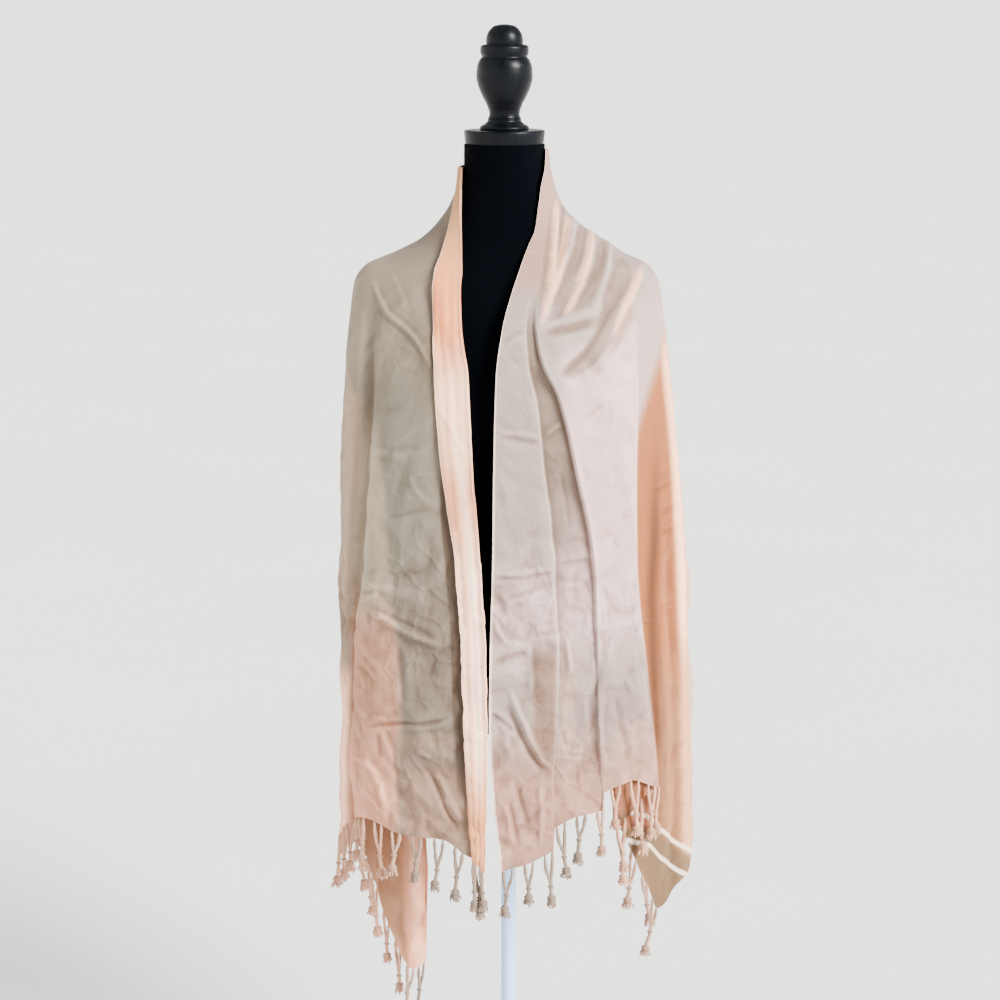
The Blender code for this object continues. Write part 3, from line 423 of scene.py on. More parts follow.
# Profiles from the top down. Each pair holds a radius and a height in millimetres.
BASE = metres((
    (17.2, 40), (19, 39.4), (20, 38), (20, 18), (20.8, 15), (22.8, 13), (26, 12.2), (60, 12),
    (150, 10), (161, 9), (163.8, 7.8), (165, 6), (165, 1.2), (164, 0),
))
FINIAL = metres((
    (1.5, 1593.6), (11.5, 1592), (18, 1587), (21.8, 1580), (22.8, 1573), (22.6, 1570),
    (27.2, 1568.8), (29.6, 1566), (29.8, 1561), (29, 1557.5), (27.8, 1555), (30.8, 1551),
    (34, 1542), (34.7, 1531), (32.5, 1520), (27.5, 1508), (21.5, 1496), (18.8, 1487),
    (19.5, 1482.2), (21, 1480.5), (20.5, 1479), (24, 1474.5), (30.5, 1470), (30, 1467.2),
))
CAP = metres((
    (48, 1466.8), (49.2, 1466.5), (49.8, 1465.8), (50, 1464.5), (48.8, 1452), (48, 1450),
))
# The shells beside the left front. Each row holds: name, the stations it reaches between, how
# many rows of the grid make one of its own, and the solid it stands for.
SHELLS = (
    ("cloth_left_side", 2, 4, 2, "shawl_left"), ("cloth_back", 4, 7, 2, "shawl_back"),
    ("cloth_right_side", 7, 8, 1, "shawl_right"), ("cloth_right_front", 8, 13, 1, "shawl_right"),
)
STARTUP_OBJECTS = ("Cube", "Light", "Camera")       # a new Blender file holds these


# ---------------------------------------------------------------- small helpers
def smooth(t):
    """Ease from 0 to 1."""
    t = np.clip(t, 0.0, 1.0)
    return t * t * (3.0 - 2.0 * t)


def above(value, start, width):
    """0 up to the start, easing to 1 over the width above it."""
    return smooth((value - start) / width)


def below(value, start, width):
    """0 down to the start, easing to 1 over the width below it."""
    return smooth((start - value) / width)


def near(value, middle, spread):
    """1 at the middle, falling off smoothly to about nothing over twice the spread."""
    return np.exp(-((value - middle) / spread) ** 2)


def glide(xs, ys, x):
    """Smooth curve through the points (xs, ys), with no overshoot, read at x."""
    xs, ys = np.asarray(xs, float), np.asarray(ys, float)
    if xs[0] > xs[-1]:
        xs, ys = xs[::-1], ys[::-1]
    step = np.diff(xs)
    rise = np.diff(ys) / step
    slope = np.empty(len(xs))
    slope[0], slope[-1] = rise[0], rise[-1]
    before, after = rise[:-1], rise[1:]
    same = before * after > 0
    total = np.where(same, before + after, 1.0)
    slope[1:-1] = np.where(same, 2.0 * before * after / total, 0.0)
    x = np.clip(x, xs[0], xs[-1])
    i = np.clip(np.searchsorted(xs, x, side="right") - 1, 0, len(step) - 1)
    t = (x - xs[i]) / step[i]
    h = step[i]
    return (ys[i] * (1 + 2 * t) * (1 - t) ** 2 + ys[i + 1] * t * t * (3 - 2 * t)
            + h * slope[i] * t * (1 - t) ** 2 - h * slope[i + 1] * t * t * (1 - t))


def column(rows, columns, name):
    """One named column of a table."""
    at = columns.index(name)
    return [row[at] for row in rows]


def at_height(rows, columns, name, z):
    """A table's column read at the height z."""
    return glide(column(rows, columns, "z"), column(rows, columns, name), z)


def unit(vectors):
    """The same vectors, one unit long."""
    return vectors / np.maximum(np.linalg.norm(vectors, axis=-1, keepdims=True), 1e-12)


def running(steps):
    """Running total of steps, from 0."""
    return np.concatenate([[0.0], np.cumsum(steps)])


def distances(points):
    """Distance of every point along its line."""
    return running(np.linalg.norm(np.diff(points, axis=0), axis=1))


def squircle(angle, half, depth, n):
    """Points of a superellipse quarter or half, by angle from the front or back middle."""
    sine, cosine = np.sin(angle), np.abs(np.cos(angle))
    return np.sign(sine) * half * np.abs(sine) ** (2 / n), depth * cosine ** (2 / n)


# ---------------------------------------------------------------- the cloth's surface
def base_section(z):
    """The unfolded section at the height z: points, their distances, and the stations'."""
    xs, ys, far = section_points(z)
    highest = LINES[0][0]
    if z > highest:
        top_xs, _, top_far = section_points(highest)
        return xs, ys, far, station_stops(highest, top_xs, top_far) * far[-1] / top_far[-1]
    return xs, ys, far, station_stops(z, xs, far)


def section_points(z):
    """Points of the unfolded section at the height z, and their distances along it."""
    value = {name: float(at_height(SECTIONS, SECTION_COLUMNS, name, z)) for name in SECTION_COLUMNS}
    n, quarter = value["n"], math.pi / 2
    runs = []
    for side, half, edge in ((-1, value["left_half"], -value["left_edge"]),
                             (1, value["right_half"], value["right_edge"])):
        share = edge / half
        start = math.asin(math.copysign(abs(share) ** (n / 2), share))
        x, y = squircle(np.linspace(start, quarter, ARC), half, -value["front"], n)
        back_x, back_y = squircle(np.linspace(quarter, 0.0, ARC), half, value["back"], n)
        runs.append((side * np.append(x, back_x[1:]), np.append(y, back_y[1:])))
    (left_x, left_y), (right_x, right_y) = runs
    xs = np.concatenate([left_x, right_x[::-1][1:]])
    ys = np.concatenate([left_y, right_y[::-1][1:]])
    far = running(np.hypot(np.diff(xs), np.diff(ys)))
    return xs, ys, far


def station_stops(z, xs, far):
    """Distances of the stations along the section at the height z."""
    line = {name: float(at_height(LINES, LINE_COLUMNS, name, z)) for name in LINE_COLUMNS}
    left_side, back, right_side = far[ARC - 1], far[2 * ARC - 2], far[3 * ARC - 3]
    total = far[-1]

    def front_at(x, side):
        """Distance of the point of a front that lies x from the middle."""
        if side < 0:
            return float(np.interp(x, -xs[:ARC], far[:ARC]))
        return float(np.interp(-x, -xs[3 * ARC - 3:], far[3 * ARC - 3:]))

    stops = {
        "left_edge": 0.0,
        "left_band": line["band"],
        "left_valley": front_at(line["left_valley"], -1),
        "left_side": left_side,
        "left_corner": left_side + LEFT_CORNER * (back - left_side),
        "back": back,
        "right_side": right_side,
        "right_corner": front_at(line["right_corner"], 1),
        "right_panel": front_at(line["right_panel"], 1),
        "pleat_outer": total - line["pleat"] - CREASE / 2,
        "pleat_inner": total - line["pleat"] + CREASE / 2,
        "tray_outer": total - line["tray"] - CREASE / 2,
        "tray_inner": total - line["tray"] + CREASE / 2,
        "right_edge": total,
    }
    return np.array([stops[name] for name, _ in STATIONS])


def column_places():
    """The station number of every column."""
    places = [np.array([0.0])]
    for number, (_, count) in enumerate(STATIONS[:-1]):
        places.append(number + np.arange(1, count + 1) / count)
    return np.concatenate(places)


def fold_push(far, stops, z):
    """How far every point of a section is pushed out by the folds that run down the cloth."""
    push = np.zeros_like(far)
    for high, low, width, depth, z_none, z_full in FOLDS:
        grown = below(z, z_none, z_none - z_full)
        place = high + (low - high) * below(z, z_none, z_none - FOLD_LOW_Z)
        middle = np.interp(place, np.arange(len(stops)), stops)
        reach = np.clip(np.abs(far - middle) / width, 0.0, 1.0)
        push += depth * grown * 0.5 * (1.0 + np.cos(math.pi * reach))
    return push


def tray_push(places, z):
    """The pleat's tray on the right front, which lies back from the cloth on each side."""
    inside = np.minimum(smooth(places - TRAY_OUTER), smooth(TRAY_INNER - places))
    grown = below(z, TRAY_TOP, TRAY_TOP - TRAY_GROWN)
    flattened = below(z, TRAY_FLAT_TOP, TRAY_FLAT_TOP - TRAY_FLAT_LOW)
    return -TRAY_DEPTH * grown * (1.0 - (1.0 - TRAY_FLAT) * flattened) * inside


def drag_push(x, y, z):
    """The slanting folds of the fronts."""
    push = np.zeros_like(x)
    for x_high, z_high, x_low, z_low, width, depth in DRAGS:
        run_x, run_z = x_low - x_high, z_low - z_high
        length = math.hypot(run_x, run_z)
        along = ((x - x_high) * run_x + (z - z_high) * run_z) / length ** 2
        across = np.abs((x - x_high) * run_z - (z - z_high) * run_x) / length
        body = 0.5 * (1.0 + np.cos(math.pi * np.clip(across / width, 0.0, 1.0)))
        ends = smooth(along / DRAG_END) * smooth((1.0 - along) / DRAG_END)
        push += np.where(y < 0.0, depth * body * ends, 0.0)
    return push


def tuck_path(t):
    """The lapped fold beside the right front, for t from 0 at its edge to 1 where it ends.

    Gives how far in (towards the front's middle) and how far back the cloth lies.
    """
    turn = math.pi * TUCK_R
    ends = (0.0, turn, turn + TUCK, 2 * turn + TUCK, 2 * turn + 2 * TUCK)
    far = np.interp(t, TUCK_SHARES, ends)
    first = np.clip(far / TUCK_R, 0.0, math.pi)
    inward = np.clip(far - ends[1], 0.0, TUCK)
    second = np.clip((far - ends[2]) / TUCK_R, 0.0, math.pi)
    outward = np.clip(far - ends[3], 0.0, TUCK)
    reach = inward - outward + TUCK_R * (np.sin(second) - np.sin(first))
    depth = TUCK_R * (2.0 - np.cos(first) - np.cos(second))
    return reach, depth


def tuck_shift(places, stops, z):
    """Sideways and inward shifts that lap the side's cloth behind the right front's edge.

    Where the lap begins the cloth steps back evenly; the two turns form as the lap widens.
    """
    t = np.clip(PANEL_EDGE - places, 0.0, 1.0)
    lapped = below(z, TUCK_DEEP, TUCK_DEEP - TUCK_FULL)
    turned = smooth(lapped / TUCK_TURNED)
    sunk = below(z, TUCK_NONE, TUCK_NONE - TUCK_DEEP)
    width = stops[PANEL_EDGE] - stops[CORNER_RIGHT]
    reach, depth = tuck_path(t)
    even = 4.0 * TUCK_R * np.clip(t / TUCK_SHARES[-1], 0.0, 1.0)
    depth = even + (depth - even) * turned
    beyond = np.clip((t - TUCK_SHARES[-1]) / (1.0 - TUCK_SHARES[-1]), 0.0, 1.0) * width
    between = (places > CORNER_RIGHT) & (places < PANEL_EDGE)
    sideways = np.where(between, reach - beyond + t * width, 0.0)
    side = 1.0 - smooth(CORNER_RIGHT - places)
    back = np.where(places < PANEL_EDGE, depth * side, 0.0)
    return lapped * sideways, -sunk * back


def working_surface(places):
    """Middle surface of the cloth on level sections: heights, points and distances across."""
    heights = np.arange(SECTIONS[0][0], SECTIONS[-1][0] - 1e-9, -STEP_Z)
    points = np.zeros((len(places), len(heights), 3))
    across = np.zeros((len(places), len(heights)))
    for row, z in enumerate(heights):
        xs, ys, far, stops = base_section(z)
        lap, sunk = tuck_shift(places, stops, z)
        where = np.interp(places, np.arange(len(stops)), stops) + lap
        x, y = np.interp(where, far, xs), np.interp(where, far, ys)
        dx, dy = (np.interp(where, far, np.gradient(line, far)) for line in (xs, ys))
        size = np.hypot(dx, dy)
        push = fold_push(where, stops, z) + tray_push(places, z) + drag_push(x, y, z) + sunk
        points[:, row] = np.stack([x - dy / size * push, y + dx / size * push,
                                   np.full_like(x, z)], -1)
        across[:, row] = where - stops[BACK]
    return heights, points, across


def row_heights(heights, points, z_top, z_low):
    """Heights of a column's rows, closer together over the shoulder."""
    step = np.linalg.norm(np.diff(points, axis=0), axis=1)
    middle = 0.5 * (heights[1:] + heights[:-1])
    step = step * (1.0 + CLOSER * np.exp(-((middle - SHOULDER_Z) / SHOULDER_SPREAD) ** 2))
    far = running(step)
    first, last = np.interp([-z_top, -SPLIT_Z], -heights, far)
    upper = np.interp(np.linspace(first, last, TOP_ROWS + 1), far, heights)
    lower = np.linspace(SPLIT_Z, z_low, LOW_ROWS + 1)[1:]
    return np.concatenate([upper, lower])


def cloth_grid():
    """The smooth cloth on its own rows and columns: places, points, distances across."""
    places = column_places()
    heights, level, level_across = working_surface(places)
    tops, hems = glide(*zip(*TOP_EDGE), places), glide(*zip(*LOW_EDGE), places)
    points, across = [], []
    for k in range(len(places)):
        rows = row_heights(heights, level[k], tops[k], hems[k])
        values = [np.interp(-rows, -heights, level[k, :, axis]) for axis in range(3)]
        points.append(np.stack(values, -1))
        across.append(np.interp(-rows, -heights, level_across[k]))
    return places, np.stack(points), np.stack(across)


def grid_normals(points):
    """Outward normals of a grid of points, from its neighbours both ways."""
    along, down = np.gradient(points, axis=0), np.gradient(points, axis=1)
    return unit(np.cross(along, down))


# ---------------------------------------------------------------- creases and crumple
def noise(u, v, seed):
    """Smooth noise from -1 to 1 over cells one unit wide."""
    table = np.random.default_rng(seed).uniform(-1.0, 1.0, (NOISE_CELLS, NOISE_CELLS))
    i, j = np.floor(u).astype(int), np.floor(v).astype(int)
    s, t = smooth(u - i), smooth(v - j)
    i, j = i % NOISE_CELLS, j % NOISE_CELLS
    k, m = (i + 1) % NOISE_CELLS, (j + 1) % NOISE_CELLS
    low = table[i, j] * (1 - s) + table[k, j] * s
    high = table[i, m] * (1 - s) + table[k, m] * s
    return low * (1 - t) + high * t


def crumple(u, v, seed):
    """Noise from -1 to 1 over cells one unit wide, of flat facets that meet in sharp creases."""
    table = np.random.default_rng(seed).uniform(-1.0, 1.0, (NOISE_CELLS, NOISE_CELLS))
    bent_u = u + 0.5 * noise(0.8 * u, 0.8 * v, seed + 50)
    bent_v = v + 0.5 * noise(0.8 * u, 0.8 * v, seed + 51)
    skew = SIMPLEX * (bent_u + bent_v)
    i, j = np.floor(bent_u + skew).astype(int), np.floor(bent_v + skew).astype(int)
    a, b = bent_u + skew - i, bent_v + skew - j
    i, j = i % NOISE_CELLS, j % NOISE_CELLS
    k, m = (i + 1) % NOISE_CELLS, (j + 1) % NOISE_CELLS
    first, last = table[i, j], table[k, m]
    middle = np.where(a > b, table[k, j], table[i, m])
    return first + np.maximum(a, b) * (middle - first) + np.minimum(a, b) * (last - middle)


def crease_push(x, z, folds, steps=()):
    """How far creases move the points at x and z, in the unit of the heights in their rows."""
    push = np.zeros_like(x)
    for number, (width, height, *path) in enumerate((*folds, *steps)):
        width, path = width / 1000.0, np.reshape(path, (-1, 2)) / 1000.0
        low, high = path.min(axis=0) - width, path.max(axis=0) + width
        box = (x > low[0]) & (x < high[0]) & (z > low[1]) & (z < high[1])
        if not box.any():
            continue
        px, pz = x[box], z[box]
        away, side, along = np.full(px.shape, 1e9), np.zeros(px.shape), np.zeros(px.shape)
        lengths = np.linalg.norm(np.diff(path, axis=0), axis=1)
        done, total = 0.0, lengths.sum()
        for (ax, az), (bx, bz), length in zip(path[:-1], path[1:], lengths):
            run_x, run_z = (bx - ax) / length, (bz - az) / length
            t = np.clip((px - ax) * run_x + (pz - az) * run_z, 0.0, length)
            off_x, off_z = px - ax - t * run_x, pz - az - t * run_z
            far = np.hypot(off_x, off_z)
            closer = far < away
            away = np.where(closer, far, away)
            side = np.where(closer, off_x * run_z - off_z * run_x, side)
            along = np.where(closer, (done + t) / total, along)
            done += length
        share = np.clip(away / width, 0.0, 1.0)
        body = CRISP * (1.0 - share) ** 2 + (1.0 - CRISP) * 0.5 * (1.0 + np.cos(math.pi * share))
        if number >= len(folds):
            body *= 0.5 * np.tanh(side / (STEP_SHARE * width))
        push[box] += height * body * smooth(along / CREASE_END) * smooth((1.0 - along) / CREASE_END)
    return push


def strewn_creases():
    """Short creases strewn over the back and sides."""
    draw = np.random.default_rng(STREWN_SEED)
    creases = []
    for _ in range(STREWN):
        u, z = draw.uniform(*STREWN_BOX[:2]), draw.uniform(*STREWN_BOX[2:])
        length = draw.uniform(*STREWN_LENGTHS)
        turn = math.radians(draw.normal(0.0, STREWN_TILT))
        bend = draw.uniform(-STREWN_BEND, STREWN_BEND) * length
        run_u, run_z = 0.5 * length * math.cos(turn), 0.5 * length * math.sin(turn)
        height = draw.uniform(*STREWN_HEIGHTS) * draw.choice([-1.0, 1.0])
        creases.append((draw.uniform(*STREWN_WIDTHS), height, u - run_u, z - run_z,
                        u - bend * math.sin(turn), z + bend * math.cos(turn), u + run_u, z + run_z))
    return creases


def shoulder_front(place, points):
    """1 on the right shoulder as far as its top, which faces the front too."""
    y, z = points[..., 1], points[..., 2]
    return above(z, 1.235, 0.03) * above(place, 5.6, 0.4) * below(y, 0.015, 0.03)


def waves(kind, across, z, height, cell_across, cell_down, seed):
    """Uneven waves of one kind, over distance across and height."""
    return height * kind(across / cell_across, z / cell_down, seed)


def relief(places, points, across):
    """How far the finer creases move every point of the cloth along its normal."""
    place = np.broadcast_to(places[:, None], across.shape)
    x, z = points[..., 0], points[..., 2]
    on_left = 1.0 - above(place, 2.0, 0.6)
    on_right = np.maximum(above(place, PANEL_EDGE, 0.12), shoulder_front(place, points))
    push = RELIEF * (on_left * crease_push(x, z, LEFT_CREASES, LEFT_STEPS)
                     + on_right * crease_push(x, z, RIGHT_CREASES, RIGHT_STEPS))

    free = 1.0 - above(place, 6.9, 0.1) * below(place, 8.1, 0.1)    # the lapped fold is left smooth
    loose = free * (0.25 + 0.75 * below(z, SHOULDER_Z, 0.10))       # the form fills the shoulders
    # It is more crumpled lower down, and less at the right side.
    worn = 0.45 + 0.55 * below(z, 1.02, 0.12)
    worn *= 1.0 - 0.6 * above(place, 5.9, 0.3) * below(place, 7.2, 0.2)
    behind = 0.001 * (1.0 - on_left) * (1.0 - on_right)
    push += loose * (behind * crease_push(across, z, (*strewn_creases(), *PRESSED))
                     + worn * sum(waves(crumple, across, z, *row) for row in CRUMPLES)
                     + waves(noise, across, z, *FINE_WAVE)
                     + waves(noise, across, z, *LOW_WAVE) * (1.0 - above(z, 1.0, 0.2)))
    hem = below(z - z[:, -1:], HEM_RIPPLE, HEM_RIPPLE)
    push += free * hem * waves(noise, across, z, *HEM_WAVE)
    # Close to the form it moves outwards only.
    outward = 1.0 - 0.85 * above(z, 1.16, 0.10) * above(z, 1.24, 0.05)
    return np.where(push < 0.0, push * outward, push)


# ---------------------------------------------------------------- colour of the cloth
def painted(ground, shape, layers):
    """A ground colour under layers, each a colour and how much of it shows at every point."""
    tint = np.zeros(shape + (3,)) + np.array(ground)
    for colour, share in layers:
        tint += (np.array(colour) - tint) * np.clip(share, 0.0, 1.0)[..., None]
    return tint


def left_layers(place, points):
    """Layers of colour of the left front, and of the side and tail beside it, with painted shade
    and painted light among them.
    """
    x, z, edge = points[..., 0], points[..., 2], points[at_station(1)]
    seam = np.interp(z, *SEAM)
    left = 1.0 - smooth((place - seam) / (0.16 + 1.4 * above(z, 1.20, 0.06)))
    warm = left * smooth((np.interp(z, *WARMER) - x) / (0.014 + 0.010 * below(z, 0.74, 0.05)))
    strip = (1.0 - left) * (1.0 - above(place, 3.0, 0.5))
    tail = above(place, 2.9, 0.3) * (1.0 - above(place, 4.2, 0.2))
    beside = np.interp(-z, -edge[:, 2], edge[:, 0]) - x             # from the band's free edge
    band_shadow = left * below(beside, BAND_SHADOW_WIDTH * below(z, 1.13, 0.16), 0.003)
    return (
        # Painted shade: the left front darker and greyer, as it lies in shade and the black form
        # shows through the thin cloth.
        (TAUPE, np.maximum(left, above(z, 1.00, 0.24) * below(place, 4.9, 1.3))),
        (OLIVE, left * near(x, -0.190, 0.050) * above(z, 1.13, 0.08)),
        (SAGE, 0.9 * left * near(x, -0.125, 0.050) * near(z, 1.06, 0.14)),
        (STONE, left * above(x, -0.130, 0.02) * near(z, 0.83, 0.09)),
        # Painted shadow under the fold on the upper left front, beside the band.
        (FOLD_SHADOW, 0.9 * left * near(x, -0.092, 0.020) * near(z, 1.205, 0.045)),
        # Painted light: the outer part warmer where light shines through the cloth beside the form.
        (BUFF, warm * below(z, 1.15, 0.08)),
        (ROSE, warm * below(z, 0.93, 0.10)),
        (BLUSH, 0.35 * left * below(x, -0.130, 0.03) * below(z, 0.76, 0.12)),
        (BRICK, 0.9 * left * above(x, -0.134, 0.012) * below(z, 0.735, 0.02)),
        (STONE, 0.7 * left * above(x, -0.132, 0.012) * near(z, 0.703, 0.022)),
        (TAN, strip * below(z, 1.26, 0.11)),
        (UMBER, 0.6 * strip * near(z, 0.84, 0.05)),
        (BLUSH, strip * below(z, 0.80, 0.06)),
        (BAND_CREAM, 0.55 * strip * below(z, 0.79, 0.05)),
        # Painted shade along the valley beside the seam.
        (UMBER, 0.45 * near(place, seam + 0.10, 0.06) * below(z, 1.20, 0.06)
         * above(z, 0.80, 0.10)),
        (CLAY, tail * below(z, 0.62, 0.05)),
        (BLUSH, 0.6 * tail * np.maximum(below(z, 0.385, 0.05), above(x, -0.150, 0.03))),
        # Painted shadow of the turned-back band on the panel beside it.
        (BAND_SHADOW_COLOUR, band_shadow * below(z, 1.12, 0.10) * (1.0 - 0.85 * below(z, 0.70, 0.08))),
    )


def right_layers(place, points):
    """Layers of colour of the right front, the shoulder, and the side and tail beside it.

    Painted shade, painted highlight and the side's painted glow are among them.
    """
    x, z = points[..., 0], points[..., 2]
    low = below(z, GLOW_TOP + (x - 0.165) * GLOW_SLOPE, 0.055)      # the painted glow ends on a slant
    right = above(place, 7.95, 0.05)
    front = np.maximum(right, shoulder_front(place, points))
    outer = right * above(x, 0.055, 0.03)
    top = above(place, 5.3, 0.6) * (1.0 - low)
    tray = above(place, 9.5, 0.4) * (1.0 - above(place, 11.5, 0.4))
    glow = above(place, 6.0, 0.30) * (1.0 - right)
    rim = at_height(SECTIONS, SECTION_COLUMNS, "right_half", z) + 0.002 - x
    halo = low * below(rim, 0.0175 + 0.005 * below(z, 0.80, 0.10), 0.011)
    stripe_z, stripe_rise = STRIPES[0]
    return (
        (LILAC, right),
        (LILAC, top * (1.0 - right)),
        (PEARL, 0.5 * top * below(z, 1.30, 0.06) * above(x, 0.10, 0.03)),
        (BLOOM, 0.8 * right * near(z, 0.89, 0.06)),
        (PEARL, outer * below(z, 1.24, 0.07) * above(z, 0.80, 0.14)),
        (MAUVE, 0.85 * outer * near(z, 0.755, 0.055)),
        # Painted shade in the pleat's tray, which lies back from the cloth beside it.
        (TRAY_SHADE, tray * below(z, 1.28, 0.06) * above(z, 0.82, 0.26)),
        (PETAL, right * below(z, 0.77, 0.12)),
        (PETAL, 0.5 * right * above(x, 0.13, 0.03) * near(z, 0.70, 0.045)),
        (TAWNY, 0.9 * right * above(x, 0.031, 0.010) * below(x, 0.069, 0.010)
         * below(z, 0.865, 0.04) * above(z, 0.66, 0.06)),
        (CREAM, 0.6 * right * near(x, 0.079, 0.009) * near(z, 0.775, 0.060)),
        (PETAL, 0.8 * front * above(z, 1.26, 0.04) * below(x, 0.09, 0.05)),
        # Painted shade in the shoulder's folds, and painted highlight on their crests.
        (SHADE_TONE, 0.9 * front * above(crease_push(x, z, SHADES), 0.10, 0.38)),
        (CREST_HIGHLIGHT, front * above(crease_push(x, z, CRESTS), 0.12, 0.40)),
        # Painted light: the side's orange glow where light shines through the thin cloth.
        (GLOW, glow * low),
        (DRAB, 0.6 * glow * below(z, 0.86, 0.16)),
        # Painted shadow of the right front's lapped edge, in a streak down the side.
        (EDGE_SHADOW_COLOUR, 0.95 * glow * near(x, np.interp(z, *EDGE_SHADOW_MIDDLE), 0.0095) * below(z, 1.15, 0.20)
         * (1.0 - 0.5 * below(z, 0.72, 0.06))),
        (HALO, glow * halo * (1.0 - 0.6 * below(z, 0.86, 0.10))),
        (RUST, glow * above(place, 7.0, 0.2) * below(z, 0.67, 0.03)),
        # Painted shade on the right tail's fold, below its first stripe.
        (TAIL_FOLD_SHADE, below(z, stripe_z + stripe_rise * (place - 7.0), 0.012) * above(place, 6.0, 0.2)
         * (1.0 - right)),
        (PALE, 0.8 * above(place, 13.0 - EDGE_SHARE, EDGE_SHARE)),
    )


def cloth_tint(places, points):
    """Colour of every point: the dyed yarn, with painted shade and painted light laid over it."""
    place = np.broadcast_to(places[:, None], points.shape[:2])
    return painted(CREAM, place.shape, left_layers(place, points) + right_layers(place, points))


def stripe_offsets(places, points):
    """Height of every point over the middle of each stripe, or far from it off the tail."""
    place = np.broadcast_to(places[:, None], points.shape[:2])
    away = 1.0 - above(place, 5.9, 0.1) * below(place, 7.6, 0.1)
    along = place - 7.0 + 0.8 * np.clip(place - 7.0, 0.0, 0.6)
    return np.stack([points[..., 2] - start - rise * along + away for start, rise in STRIPES], -1)


def hollows(grid, normals, reach):
    """How deep every point lies below the cloth round it, in metres."""
    soft = grid
    for axis in (0, 1):
        pad = [(reach, reach) if i == axis else (0, 0) for i in range(3)]
        total = np.cumsum(np.pad(soft, pad, mode="edge"), axis=axis)
        lead = np.take(total, range(2 * reach, total.shape[axis]), axis)
        lag = np.concatenate([np.zeros_like(np.take(total, [0], axis)),
                              np.take(total, range(total.shape[axis] - 2 * reach - 1), axis)], axis)
        soft = (lead - lag) / (2 * reach + 1)
    return ((soft - grid) * normals).sum(-1)


def crease_shaded(tint, grid, normals, places):
    """Colours browner in the hollows of the creases and paler on their crests: painted shade and
    painted highlight.
    """
    behind = (above(places, 2.6, 0.4) * below(places, 6.2, 0.3))[:, None]
    for reach, full, crest, deeper in CREASE_SHADING:
        depth = hollows(grid, normals, reach) / (full * (1.0 + (deeper - 1.0) * behind))
        deep, proud = smooth(depth)[..., None], smooth(-depth)[..., None]
        tint = tint * (1.0 - deep * (1.0 - np.array(HOLLOW_SHADE))) * (1.0 + crest * proud)
    return tint


def band_tint(share, z):
    """Colour of the turned-back band: the cloth's reverse, striped down its length."""
    return painted(BAND_CREAM, z.shape, (
        (BAND_PEACH, above(z, 1.15, 0.09)),
        # Painted shade across the band at about 1.03 m up.
        (BAND_HONEY, 0.9 * near(z, 1.03, 0.060)),
        (BAND_TAN, above(z, 1.27, 0.09)),
        (BAND_HONEY, 0.4 * near(share, 0.36, 0.12) * below(z, 1.24, 0.1)),
        (BAND_HONEY, 0.5 * near(share, 0.05, 0.12) * near(z, 1.05, 0.08)),
        (PALE, 0.5 * near(share, 0.62, 0.12) * below(z, 1.16, 0.1)),
        (PETAL, 0.4 * near(share, 0.92, 0.14)),
        (BAND_HONEY, below(z, 0.73, 0.12)),
        (PALE, 0.6 * below(share, 0.05, 0.04) * above(z, 0.8, 0.1)),
    ))


# ---------------------------------------------------------------- meshes
def ring(radius, z, sides):
    """Points of a level circle."""
    turn = np.linspace(0.0, 2 * math.pi, sides, endpoint=False)
    return np.stack([radius * np.cos(turn), radius * np.sin(turn), np.full_like(turn, z)], -1)


def make_mesh(name, points, faces, normals=None, tint=None, weave=None):
    """A mesh from arrays.

    weave holds each point's place along and across the yarns, and its height over two stripes.
    """
    mesh = bpy.data.meshes.new(name)
    if isinstance(faces, list):
        sizes, loops = np.array([len(face) for face in faces]), np.concatenate(faces)
    else:
        sizes, loops = np.full(len(faces), faces.shape[1]), faces.reshape(-1)
    mesh.vertices.add(len(points))
    mesh.vertices.foreach_set("co", np.asarray(points, np.float32).reshape(-1))
    mesh.loops.add(len(loops))
    mesh.loops.foreach_set("vertex_index", np.asarray(loops, np.int32))
    mesh.polygons.add(len(sizes))
    mesh.polygons.foreach_set("loop_start", running(sizes[:-1]).astype(np.int32))
    mesh.polygons.foreach_set("loop_total", sizes.astype(np.int32))
    mesh.update(calc_edges=True)
    mesh.validate()
    mesh.shade_smooth()
    if tint is not None:
        layer = mesh.color_attributes.new("tint", "FLOAT_COLOR", "POINT")
        rgba = np.concatenate([tint, np.ones((len(tint), 1))], axis=1)
        layer.data.foreach_set("color", rgba.astype(np.float32).reshape(-1))
    if weave is not None:
        index = np.zeros(len(mesh.loops), np.int32)
        mesh.loops.foreach_get("vertex_index", index)
        for layer_name, first in (("weave", 0), ("stripe", 2)):
            layer = mesh.uv_layers.new(name=layer_name)
            uv = weave[index, first:first + 2].astype(np.float32)
            layer.data.foreach_set("uv", uv.reshape(-1))
    if normals is not None:
        mesh.normals_split_custom_set_from_vertices(normals.tolist())
    return mesh


def add_object(name, data, at=(0.0, 0.0, 0.0), turned=(0.0, 0.0, 0.0)):
    """Put an object in the scene, turned by angles in degrees."""
    item = bpy.data.objects.new(name, data)
    item.location = at
    item.rotation_euler = [math.radians(angle) for angle in turned]
    bpy.context.scene.collection.objects.link(item)
    return item


def show(name, mesh, material, *nodes, slot, x=0.0):
    """Add a visible piece in place of CAD nodes."""
    item = add_object(name, mesh, (x, 0.0, 0.0))
    mesh.materials.append(material)
    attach(item, "root")
    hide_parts(*nodes)
    return item


